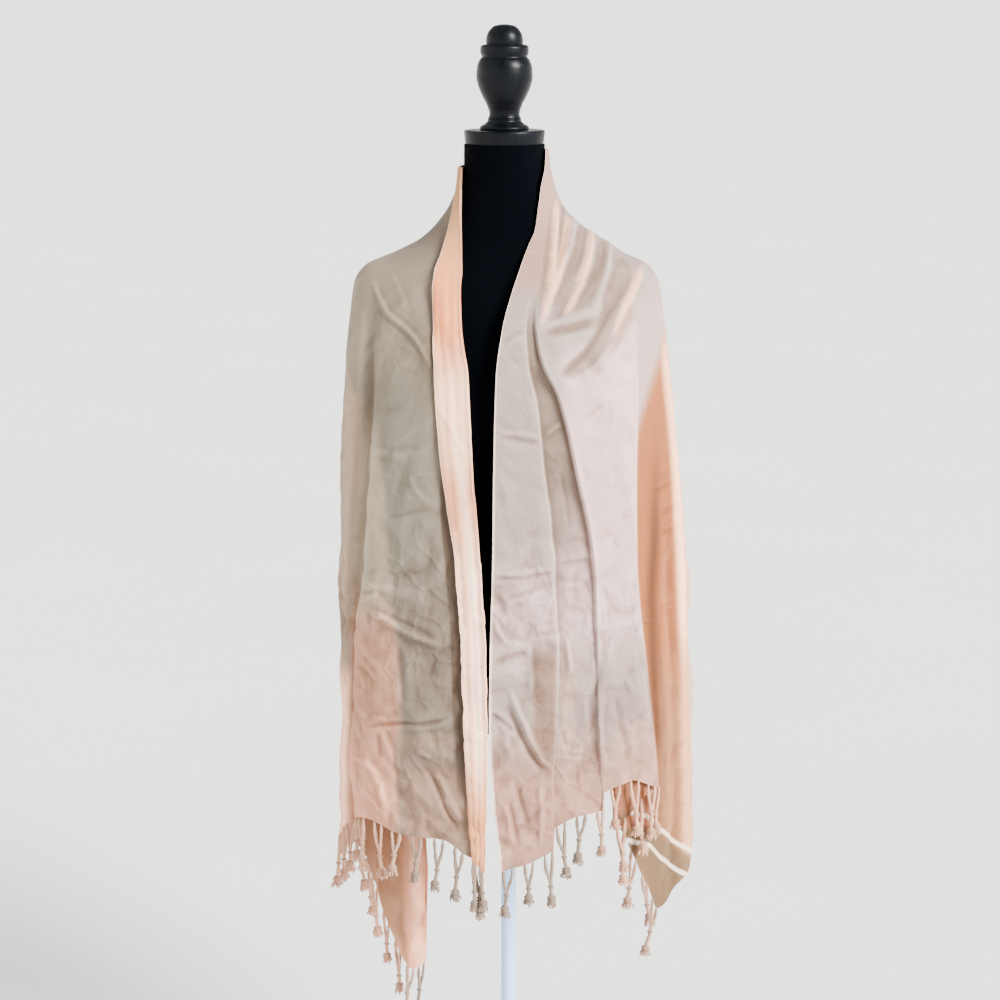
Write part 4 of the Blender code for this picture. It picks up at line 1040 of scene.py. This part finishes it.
def add_shell(name, grid, normals, tint, weave, material, *nodes):
    """A closed shell of cloth around a grid of middle points."""
    columns, rows = grid.shape[:2]
    total = columns * rows
    index = np.arange(total).reshape(columns, rows)
    a, b = index[:-1, :-1].ravel(), index[1:, :-1].ravel()
    c, d = index[1:, 1:].ravel(), index[:-1, 1:].ravel()
    faces = [np.stack([a, b, c, d], 1), np.stack([a, d, c, b], 1) + total]
    for rim in (index[::-1, 0], index[:, -1], index[0], index[-1, ::-1]):
        faces.append(np.stack([rim[:-1], rim[1:], rim[1:] + total, rim[:-1] + total], 1))
    flat, facing = grid.reshape(-1, 3), normals.reshape(-1, 3)
    mesh = make_mesh(name, np.concatenate([flat + facing * THICK / 2, flat - facing * THICK / 2]),
                     np.concatenate(faces), np.concatenate([facing, -facing]),
                     np.concatenate([tint.reshape(-1, 3)] * 2),
                     np.concatenate([weave.reshape(-1, 4)] * 2))
    return show(name, mesh, material, *nodes, slot="pashmina", x=FORM_X)


def band_lift(points):
    """How far the turned-back band stands off the panel."""
    high = above(points[..., 2], NECK_LOW, NECK_HIGH - NECK_LOW)
    return BAND_LIFT + (NECK_LIFT - BAND_LIFT) * high


def turned_band(grid, normals):
    """The band folded back on the left front: its columns, their facing, and their shares.

    Shares run from 0 at the band's free edge to 1 at its fold.
    """
    count = STATIONS[0][1]
    low = below(grid[0, :, 2], NECK_LOW, 0.10)
    columns, facings, shares = [], [], []
    for i in range(count, 0, -1):
        share = 1.0 - i / count
        z = grid[i, :, 2]
        wave = waves(noise, np.full_like(z, 0.2 + share), z, *BAND_WAVE)
        sink = -BAND_SINK * (1.0 - smooth(share / BAND_SINK_SHARE))
        rib = BAND_RIB * np.sin(2.0 * math.pi * (BAND_RIBS * share + 0.15 * np.sin(9.0 * z)))
        press = 0.001 * crease_push(np.full_like(z, share * BAND_FLAT), z, BAND_CREASES)
        lift = band_lift(grid[i]) + (wave + sink + rib) * low + press
        columns.append(grid[i] + normals[i] * lift[:, None])
        facings.append(-normals[i])
        shares.append(share)
    half = band_lift(grid[0])[:, None] / 2
    sideways = unit(grid[1] - grid[0])
    centre = grid[0] + sideways * half + normals[0] * half
    for angle in np.linspace(BAND_CURL, -BAND_CURL, BAND_TURNS):
        turn = math.radians(angle)
        out = normals[0] * math.sin(turn) - sideways * math.cos(turn)
        columns.append(centre + half * out)
        facings.append(-out)
        shares.append(1.0)
    return np.stack(columns), np.stack(facings), np.array(shares)


# ---------------------------------------------------------------- the fringe
def cord_stops(points, far):
    """Places of the cords along a hem, wider apart where it is steep."""
    steps = np.abs(np.diff(points, axis=0))
    spread = running(np.hypot(steps[:, 0], steps[:, 1]) + STEEP_SHARE * steps[:, 2])
    first, last = np.interp([CORD_INSET, far[-1] - CORD_INSET], far, spread)
    count = max(2, 2 * int(round((last - first) / CORD_PITCH / 2)) + 2)
    pairs = np.linspace(first, last, count)
    pull = np.where(np.arange(count) % 2 == 0, 1.0, -1.0) * PAIR_PULL * CORD_PITCH
    return np.interp(pairs + pull * np.array([0.0] + [1.0] * (count - 2) + [0.0]), spread, far)


def curve(start, end, start_pull, end_pull, count):
    """Points of a cubic from start to end, leaving and arriving along the pulls."""
    t = np.linspace(0.0, 1.0, count)[:, None]
    first, second = start + start_pull, end - end_pull
    return ((1 - t) ** 3 * start + 3 * t * (1 - t) ** 2 * first
            + 3 * t * t * (1 - t) * second + t ** 3 * end)


class Strands:
    """Gathers tubes into one mesh."""

    def __init__(self):
        self.points, self.faces, self.tints, self.count = [], [], [], 0

    def tube(self, path, radii, tint, sides=8, plies=0, turn=0.0, phase=0.0):
        """A closed tube along a path. With plies, it is a rope of that many twisted yarns."""
        path, radii = np.asarray(path, float), np.asarray(radii, float)
        run = unit(np.gradient(path, axis=0))
        level = np.array([1.0, 0.0, 0.0]) if abs(run[0, 0]) < 0.9 else np.array([0.0, 1.0, 0.0])
        side = unit(level - run * (run @ level)[:, None])
        other = np.cross(run, side)
        length = distances(path)
        angle = np.linspace(0.0, 2 * math.pi, sides, endpoint=False)[None, :]
        lobe = 1.0
        if plies:
            lobe += PLY_DEPTH * np.cos(plies * (angle - turn * length[:, None]) + phase)
        reach = radii[:, None] * lobe * np.ones_like(angle)
        points = (path[:, None] + side[:, None] * (reach * np.cos(angle))[..., None]
                  + other[:, None] * (reach * np.sin(angle))[..., None])
        count = len(path)
        index = self.count + np.arange(count * sides).reshape(count, sides)
        after = np.roll(index, -1, axis=1)
        quads = np.stack([index[:-1], after[:-1], after[1:], index[1:]], -1).reshape(-1, 4)
        self.faces += [*quads, index[0, ::-1], index[-1]]
        self.points.append(points.reshape(-1, 3))
        shade = np.broadcast_to(np.asarray(tint, float), (count, sides, 3)).reshape(-1, 3)
        # Painted shade: yarns darker in the grooves between them.
        self.tints.append(shade * (0.90 + 0.10 * np.asarray(reach / radii[:, None]).reshape(-1, 1)))
        self.count += count * sides


def add_tassel(strands, roots, draw, number, tint):
    """Two cords from the hem that meet in a knot and go on as one, to a knotted tuft."""
    length = CORD_LENGTH * (1.0 + 0.13 * math.sin(2.4 * number) + 0.07 * math.sin(5.1 * number))
    down = np.array([0.0, 0.0, -1.0])
    meet = draw.uniform(*MEET) * length
    sway = np.array([draw.normal(0.0, 0.0022), draw.normal(0.0, 0.0016), 0.0])
    knot = np.mean(roots, axis=0)
    knot[2] = min(root[2] for root in roots) - meet
    knot = knot + sway
    tail_end = knot + down * (length - meet) * 0.62 + sway * draw.uniform(0.2, 1.2)
    dark = np.array(tint) * KNOT_DARK
    for root in roots:
        path = curve(root, knot, down * 0.62 * meet, down * 0.22 * meet, CORD_POINTS)
        radii = np.interp(np.linspace(0, 1, CORD_POINTS), (0, 0.10, 1), (ROOT_R, CORD_R, CORD_R))
        strands.tube(path, radii, tint, plies=2, turn=TWIST, phase=draw.uniform(0, 6))
    strands.tube(knot + down * np.linspace(*KNOT_SPAN, len(KNOT_SHAPE))[:, None],
                 KNOT_R * np.array(KNOT_SHAPE), dark, plies=3, turn=KNOT_TWIST)
    path = curve(knot, tail_end, down * 0.008, down * 0.008, CORD_POINTS)
    strands.tube(path, np.full(CORD_POINTS, JOINED * CORD_R), tint, plies=2, turn=TWIST,
                 phase=draw.uniform(0, 6))
    strands.tube(tail_end + down * np.linspace(*TUFT_KNOT_SPAN, len(TUFT_KNOT_SHAPE))[:, None],
                 TUFT_KNOT_R * np.array(TUFT_KNOT_SHAPE), dark, sides=12, plies=4,
                 turn=TUFT_KNOT_TWIST, phase=draw.uniform(0, 6))
    brush = draw.uniform(*TUFT_LENGTH)
    for i in range(TUFT_YARNS):
        turn = 2 * math.pi * (i + draw.uniform(-0.3, 0.3)) / TUFT_YARNS
        out = np.array([math.cos(turn), math.sin(turn), 0.0])
        reach = TUFT_REACH * draw.uniform(0.25, 1.15)
        start = tail_end + down * 0.0005 + out * 0.0022
        end = tail_end + down * brush * draw.uniform(0.72, 1.0) + out * reach
        path = curve(start, end, (out * 0.5 + down) * 0.40 * brush,
                     (down - out * 0.6) * 0.3 * brush, YARN_POINTS)
        shade = np.array(tint) * draw.uniform(0.80, 1.08)
        strands.tube(path, np.linspace(TUFT_ROOT_R, TUFT_END_R, YARN_POINTS), shade, sides=5)


def add_fringe(name, points, number, material, *nodes):
    """The tassels that hang from one stretch of hem."""
    far = distances(points)
    stops = cord_stops(points, far)
    roots = np.stack([np.interp(stops, far, points[:, axis]) for axis in range(3)], -1)
    roots[:, 2] += ROOT_IN
    draw = np.random.default_rng(100 + number)
    strands = Strands()
    for i in range(0, len(stops), 2):
        pair = roots[i:i + 2]
        add_tassel(strands, pair, draw, number + i, cord_tint(pair.mean(axis=0)))
    mesh = make_mesh(name, np.concatenate(strands.points), strands.faces,
                     tint=np.concatenate(strands.tints))
    item = show(name, mesh, material, *nodes, slot="pashmina", x=FORM_X)
    return item, number + len(stops)


# ---------------------------------------------------------------- materials
class Graph:
    """A material's nodes, made and linked in one call each."""

    def __init__(self, name):
        self.material = bpy.data.materials.new(name)
        self.material.use_nodes = True
        self.tree = self.material.node_tree
        self.shader = self.tree.nodes["Principled BSDF"]

    def node(self, kind, inputs=None, **settings):
        """A new node, its settings, and its inputs by name or number."""
        made = self.tree.nodes.new("ShaderNode" + kind)
        for key, value in settings.items():
            setattr(made, key, value)
        for key, value in (inputs or {}).items():
            self.set(made.inputs[key], value)
        return made

    def set(self, socket, value):
        """Link a socket to an output, or give it a value."""
        if isinstance(value, bpy.types.NodeSocket):
            self.tree.links.new(value, socket)
        else:
            socket.default_value = value

    def place(self):
        """Place of the point in the object."""
        return self.node("TexCoord").outputs["Object"]

    def tint(self):
        """Colour of the point."""
        return self.node("Attribute", attribute_name="tint").outputs["Color"]

    def parts(self, vector):
        return self.node("SeparateXYZ", {0: vector}).outputs

    def math(self, operation, *values):
        return self.node("Math", dict(enumerate(values)), operation=operation).outputs[0]

    def total(self, *terms):
        """Sum of terms, each a value or a value and its factor."""
        terms = [self.math("MULTIPLY", *term) if isinstance(term, tuple) else term
                 for term in terms]
        while len(terms) > 1:
            terms = [self.math("ADD", *terms[:2])] + terms[2:]
        return terms[0]

    def sine(self, value, pitch):
        """A wave with the given pitch."""
        return self.math("SINE", self.math("MULTIPLY", value, 2 * math.pi / pitch))

    def mix(self, share, first, second, blend_type="MIX"):
        """Two colours mixed by a share."""
        inputs = {0: share, 6: first, 7: second}
        return self.node("Mix", inputs, data_type="RGBA", blend_type=blend_type).outputs[2]

    def tinged(self, colour, share, factor):
        """A colour multiplied by a factor over a share of the surface."""
        return self.mix(share, colour, self.mix(1.0, colour, factor, "MULTIPLY"))

    def span(self, value, low, high, to_low, to_high):
        """A value carried from one range over to another."""
        return self.node("MapRange", {0: value, 1: low, 2: high, 3: to_low, 4: to_high}).outputs[0]

    def noise(self, vector, scale, detail=3.0, roughness=0.5):
        """Blender's noise from 0 to 1."""
        inputs = {"Vector": vector, "Scale": scale, "Detail": detail, "Roughness": roughness}
        return self.node("TexNoise", inputs).outputs["Fac"]

    def scaled(self, vector, *scale):
        return self.node("VectorMath", {0: vector, 1: scale}, operation="MULTIPLY").outputs[0]

    def bump(self, height, distance, strength, **normal):
        """A normal tilted by a height, over another normal if one is given."""
        inputs = {"Height": height, "Distance": distance, "Strength": strength, **normal}
        return self.node("Bump", inputs).outputs[0]

    def finish(self, **sockets):
        """Set the shader's sockets, with _ for a space, and give the material."""
        for key, value in sockets.items():
            self.set(self.shader.inputs[key.replace("_", " ")], value)
        return self.material


def woven_material():
    """Fine twill of soft two-tone yarn, with uneven threads both ways."""
    g = Graph("pashmina_weave")
    weave = g.node("UVMap", uv_map="weave").outputs[0]
    place = g.place()
    across, down, _ = g.parts(weave)
    cell = g.total(g.math("MULTIPLY", g.sine(across, YARN), g.sine(down, YARN)),
                   (g.sine(g.math("ADD", across, down), 2 * YARN), 0.6))
    threads = g.total((g.noise(g.scaled(weave, 620.0, 9.0, 1.0), 1.0, 2.0), 0.55),
                      (g.noise(g.scaled(weave, 9.0, 620.0, 1.0), 1.0, 2.0), 0.35),
                      (g.noise(g.scaled(weave, 150.0, 3.0, 1.0), 1.0, 2.0), 0.45))

    lines = g.parts(g.node("UVMap", uv_map="stripe").outputs[0])
    stripes = [g.span(g.math("ABSOLUTE", line), STRIPE_HALF - STRIPE_EDGE, STRIPE_HALF,
                      STRIPE_SHARE, 0.0) for line in lines[:2]]
    colour = g.mix(g.math("MAXIMUM", *stripes), g.tint(), (*PALE, 1.0))
    cloud, shot = g.noise(place, 9.0, 4.0, 0.55), g.noise(place, 26.0, 3.0)
    colour = g.tinged(colour, g.span(cloud, 0.35, 0.70, 0.0, 0.30), (0.98, 0.88, 0.82, 1.0))
    colour = g.tinged(colour, g.span(shot, 0.45, 0.75, 0.0, 0.22), (0.90, 0.95, 0.96, 1.0))
    value = g.total(g.span(threads, 0.50, 0.86, 0.90, 1.07), (cell, 0.025))
    grey = g.node("CombineColor", {0: value, 1: value, 2: value}).outputs[0]
    colour = g.mix(1.0, colour, grey, "MULTIPLY")

    wobble = g.node("TexNoise", {"Vector": place, "Scale": 16.0}).outputs["Color"]
    bent = g.node("VectorMath", {0: wobble, 1: (0.030, 0.030, 0.030), 2: place},
                  operation="MULTIPLY_ADD").outputs[0]
    facets = g.node("TexVoronoi", {"Vector": bent, "Scale": 34.0}, feature="DISTANCE_TO_EDGE")
    crease = g.math("MULTIPLY", g.span(facets.outputs["Distance"], 0.0, 0.16, 1.0, 0.0),
                    g.span(g.noise(place, 11.0, 2.0), 0.42, 0.62, 0.0, 1.0))
    low_down = g.span(g.parts(place)[2], 1.02, 0.90, 0.35, 1.0)
    creased = g.bump(g.math("MULTIPLY", crease, low_down), 0.0030, 0.40)
    normal = g.bump(g.total((threads, 1.2), (cell, 0.25)), 0.00016, 0.55, Normal=creased)
    return g.finish(Base_Color=colour, Roughness=g.span(threads, 0.45, 0.90, 0.86, 0.70),
                    Normal=normal, Sheen_Weight=0.05, Sheen_Roughness=0.5,
                    Sheen_Tint=(1.0, 0.84, 0.74, 1.0), Specular_IOR_Level=0.10)


def cord_material():
    """Twisted yarn with a fuzz of loose fibres."""
    g = Graph("pashmina_cord")
    place = g.place()
    fuzz, tone = g.noise(place, 900.0, 3.0, 0.6), g.noise(place, 70.0, 3.0)
    colour = g.tinged(g.tint(), g.span(tone, 0.35, 0.7, 0.0, 0.45), (0.86, 0.80, 0.74, 1.0))
    colour = g.tinged(colour, g.span(fuzz, 0.3, 0.8, 0.0, 0.30), (1.18, 1.15, 1.1, 1.0))
    return g.finish(Base_Color=colour, Roughness=g.span(fuzz, 0.3, 0.7, 0.92, 0.75),
                    Normal=g.bump(fuzz, 0.0003, 0.6), Sheen_Weight=0.30, Sheen_Roughness=0.5,
                    Sheen_Tint=(1.0, 0.92, 0.86, 1.0), Specular_IOR_Level=0.2)


def jersey_material():
    """Black cotton jersey: fine ribs of stitches over a padded shell."""
    g = Graph("black_jersey_knit")
    place = g.place()
    x, y, z = g.parts(place)
    rib = g.sine(g.math("MULTIPLY", g.math("ARCTAN2", x, y), 0.15), STITCH)
    loops = g.total(rib, (g.math("MULTIPLY", rib, g.sine(z, STITCH)), 0.6))
    lint, wear = g.noise(place, 420.0, 4.0, 0.65), g.noise(place, 7.0, 3.0)
    colour = g.mix(g.span(wear, 0.35, 0.7, 0.0, 1.0), (0.0003, 0.0006, 0.0013, 1.0),
                   (0.0008, 0.0012, 0.0022, 1.0))
    colour = g.mix(g.span(lint, 0.66, 0.78, 0.0, 0.5), colour, (0.004, 0.0045, 0.0055, 1.0))
    return g.finish(Base_Color=colour, Roughness=g.span(lint, 0.3, 0.7, 0.95, 0.82),
                    Normal=g.bump(g.total((loops, 0.5), lint), 0.0003, 0.5), Sheen_Weight=0.002,
                    Sheen_Roughness=0.6, Specular_IOR_Level=0.015)


def lacquer_material():
    """Turned wood under satin black lacquer."""
    g = Graph("black_satin_lacquer")
    place = g.place()
    grain = g.noise(g.scaled(place, 60.0, 60.0, 9.0), 1.0, 5.0, 0.6)
    dust = g.noise(place, 160.0, 3.0)
    colour = g.mix(g.span(grain, 0.35, 0.7, 0.0, 1.0), (0.0008, 0.0012, 0.0020, 1.0),
                   (0.0020, 0.0027, 0.0042, 1.0))
    rough = g.span(g.total(grain, dust), 0.8, 1.25, 0.30, 0.46)
    return g.finish(Base_Color=colour, Roughness=rough,
                    Normal=g.bump(grain, 0.0002, 0.35), Coat_Weight=0.015, Coat_Roughness=0.16,
                    Specular_IOR_Level=0.09)


def enamel_material():
    """White enamelled metal with a faint blue cast and a slight orange peel."""
    g = Graph("white_enamel_paint")
    place = g.place()
    peel, tone = g.noise(place, 240.0, 2.0), g.noise(place, 12.0, 3.0)
    colour = g.mix(g.span(tone, 0.35, 0.7, 0.0, 1.0), (0.33, 0.52, 0.84, 1.0),
                   (0.38, 0.57, 0.88, 1.0))
    return g.finish(Base_Color=colour, Roughness=g.span(tone, 0.3, 0.7, 0.24, 0.36),
                    Normal=g.bump(peel, 0.0001, 0.25), Coat_Weight=0.2, Coat_Roughness=0.12)


# ---------------------------------------------------------------- the stage
def studio_world():
    """A white surround, brightest high up."""
    world = bpy.data.worlds.new("studio")
    bpy.context.scene.world = world
    world.use_nodes = True
    tree = world.node_tree
    made = {kind: tree.nodes.new("ShaderNode" + kind)
            for kind in ("TexCoord", "SeparateXYZ", "MapRange")}
    tree.links.new(made["TexCoord"].outputs["Generated"], made["SeparateXYZ"].inputs[0])
    tree.links.new(made["SeparateXYZ"].outputs["Z"], made["MapRange"].inputs[0])
    for socket, value in zip(list(made["MapRange"].inputs)[1:5], HORIZON):
        socket.default_value = value
    back = tree.nodes["Background"]
    back.inputs["Color"].default_value = WORLD_COLOUR
    tree.links.new(made["MapRange"].outputs[0], back.inputs["Strength"])


def add_stage():
    """The floor, the surround, the lights and the camera."""
    g = Graph("studio_floor")
    soft = g.noise(g.place(), 1.2, 2.0)
    colour = g.mix(g.span(soft, 0.3, 0.7, 0.0, 1.0), (0.79, 0.79, 0.785, 1.0),
                   (0.81, 0.81, 0.805, 1.0))
    material = g.finish(Base_Color=colour, Roughness=0.9, Specular_IOR_Level=0.1)
    rim = ring(FLOOR_R, FLOOR_Z, FLOOR_SIDES)
    floor = add_object("floor", make_mesh("floor", rim, np.arange(FLOOR_SIDES)[None, :]))
    floor.data.materials.append(material)
    studio_world()
    for name, strength, spread, colour, tilt, turned in SUNS:
        light = bpy.data.lights.new(name, "SUN")
        light.energy, light.angle, light.color = strength, math.radians(spread), colour
        add_object(name, light, turned=(tilt, 0.0, turned))
    camera = bpy.data.cameras.new("camera")
    camera.lens, camera.sensor_width = CAMERA_LENS, 36.0
    camera.clip_end = 100.0
    turned = (90.0 - CAMERA_TILT, 0.0, 0.0)
    bpy.context.scene.camera = add_object("camera", camera, CAMERA_AT, turned)


# ---------------------------------------------------------------- the shawl
def at_station(number):
    """Column number of a station."""
    return sum(count for _, count in STATIONS[:number])


def evened(normals, first, last):
    """Normals averaged over the steps between two columns, so that no crease folds them over."""
    reach = EVEN_REACH
    wide = np.cumsum(normals[first - reach - 1:last + reach + 1], axis=0)
    normals = normals.copy()
    normals[first:last + 1] = unit(wide[2 * reach + 1:] - wide[:-2 * reach - 1])
    return normals


def build_shawl(weave_look):
    """The cloth's five shells. Gives the cloth's grid and the band's too, for the fringe."""
    places, smooth_cloth, across = cloth_grid()
    push = relief(places, smooth_cloth, across)
    out = evened(grid_normals(smooth_cloth), at_station(TRAY_OUTER) - EVEN_REACH,
                 at_station(TRAY_INNER) + EVEN_REACH)
    cloth = smooth_cloth + out * push[..., None]
    normals = grid_normals(cloth)
    tint = crease_shaded(cloth_tint(places, cloth), cloth, normals, places)
    down = np.cumsum(np.linalg.norm(np.diff(cloth, axis=1, prepend=cloth[:, :1]), axis=2), axis=1)
    weave = np.concatenate([np.stack([across, -down], -1), stripe_offsets(places, cloth)], -1)

    band, facing, shares = turned_band(cloth, normals)
    shares = np.broadcast_to(shares[:, None], band.shape[:2])
    lengths, off_stripe = np.broadcast_to(weave[0, :, 1], shares.shape), np.ones(shares.shape)
    band_weave = np.stack([across[0].mean() - BAND_YARNS * shares, lengths,
                           off_stripe, off_stripe], -1)
    valley = at_station(2)
    parts = [np.concatenate([first, second[1:valley + 2]]) for first, second in
             ((band, cloth), (facing, normals), (band_tint(shares, band[..., 2]), tint),
              (band_weave, weave))]
    reach = at_station(1) + BAND_TURNS
    parts[1][:reach + 2] = grid_normals(parts[0])[:reach + 2]
    parts = [part[:reach + valley] for part in parts]
    pieces = {"cloth_left_front": add_shell("cloth_left_front", *parts, weave_look, "shawl_left")}
    for name, first, last, step, node in SHELLS:
        columns = slice(at_station(first), at_station(last) + 1)
        cut = [part[columns, ::step] for part in (cloth, normals, tint, weave)]
        pieces[name] = add_shell(name, *cut, weave_look, node)
    return cloth, band, pieces


def cord_tint(point):
    """Cords are rosier towards both sides, as the cloth there is."""
    share = float(above(abs(point[0] + 0.01), 0.105, 0.05))
    share *= 1.0 - 0.6 * float(point[0] > 0.0) * float(below(point[2], 0.60, 0.05))
    speckle = 1.0 + 0.06 * math.sin(310.0 * point[0] + 170.0 * point[2])
    return (np.array(CORD_PALE) * (1.0 - share) + np.array(CORD_ROSE) * share) * speckle


def build_fringe(cloth, band, cord_look):
    """Tassels along the hems, one piece for each of the solids that hold them."""
    flat_band = band[:STATIONS[0][1], -1]
    hems = (
        ("tassels_left_band", flat_band, "fringe_left_band"),
        ("tassels_left_front", cloth[1:at_station(3) + 1, -1], "fringe_left_front"),
        ("tassels_left_side", cloth[at_station(3):at_station(4) + 1, -1], "fringe_left_side"),
        ("tassels_right_side", cloth[at_station(7):at_station(8) + 1, -1], "fringe_right_side"),
        ("tassels_right_front", cloth[at_station(8):, -1], "fringe_right_front"),
    )
    pieces, number = {}, 0
    for name, points, node in hems:
        pieces[name], number = add_fringe(name, points, number, cord_look, node)
    return pieces


def add_turned(name, profile, material, node, slot, x=0.0):
    """A turned piece, fine enough that its rim looks round."""
    rings = [ring(r, z, TURNED_SIDES) for r, z in profile]
    index = np.arange(len(rings) * TURNED_SIDES).reshape(len(rings), TURNED_SIDES)
    after = np.roll(index, -1, axis=1)
    quads = np.stack([index[:-1], index[1:], after[1:], after[:-1]], -1).reshape(-1, 4)
    faces = [*quads, index[0], index[-1, ::-1]]
    mesh = make_mesh(name, np.concatenate(rings), faces)
    mesh.set_sharp_from_angle(angle=math.radians(50.0))
    show(name, mesh, material, node, slot=slot, x=x)


def rounded(profile):
    """A profile with three more points between each two, on a smooth curve."""
    r, z = np.array(profile).T
    far = running(np.hypot(np.diff(r), np.diff(z)))
    fine = np.interp(np.linspace(0, len(far) - 1, 4 * len(far) - 3), np.arange(len(far)), far)
    return list(zip(glide(far, r, fine), glide(far, z, fine)))


def dress(node, material):
    """Give a CAD node that stays its finished material."""
    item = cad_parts[node]
    item.data.materials.clear()
    item.data.materials.append(material)


for name in STARTUP_OBJECTS:
    if name in bpy.data.objects:
        bpy.data.objects.remove(bpy.data.objects[name], do_unlink=True)
add_stage()
weave_look, cord_look = woven_material(), cord_material()
cloth, band, shells = build_shawl(weave_look)
tassels = build_fringe(cloth, band, cord_look)
dress("torso", jersey_material())
lacquer = lacquer_material()
add_turned("turned_cap", CAP, lacquer, "neck_cap", "black_satin", FORM_X)
add_turned("turned_finial", rounded(FINIAL), lacquer, "finial", "black_satin", FORM_X)
enamel = enamel_material()
dress("pole", enamel)
add_turned("stand_foot", BASE, enamel, "base", "white_enamel")
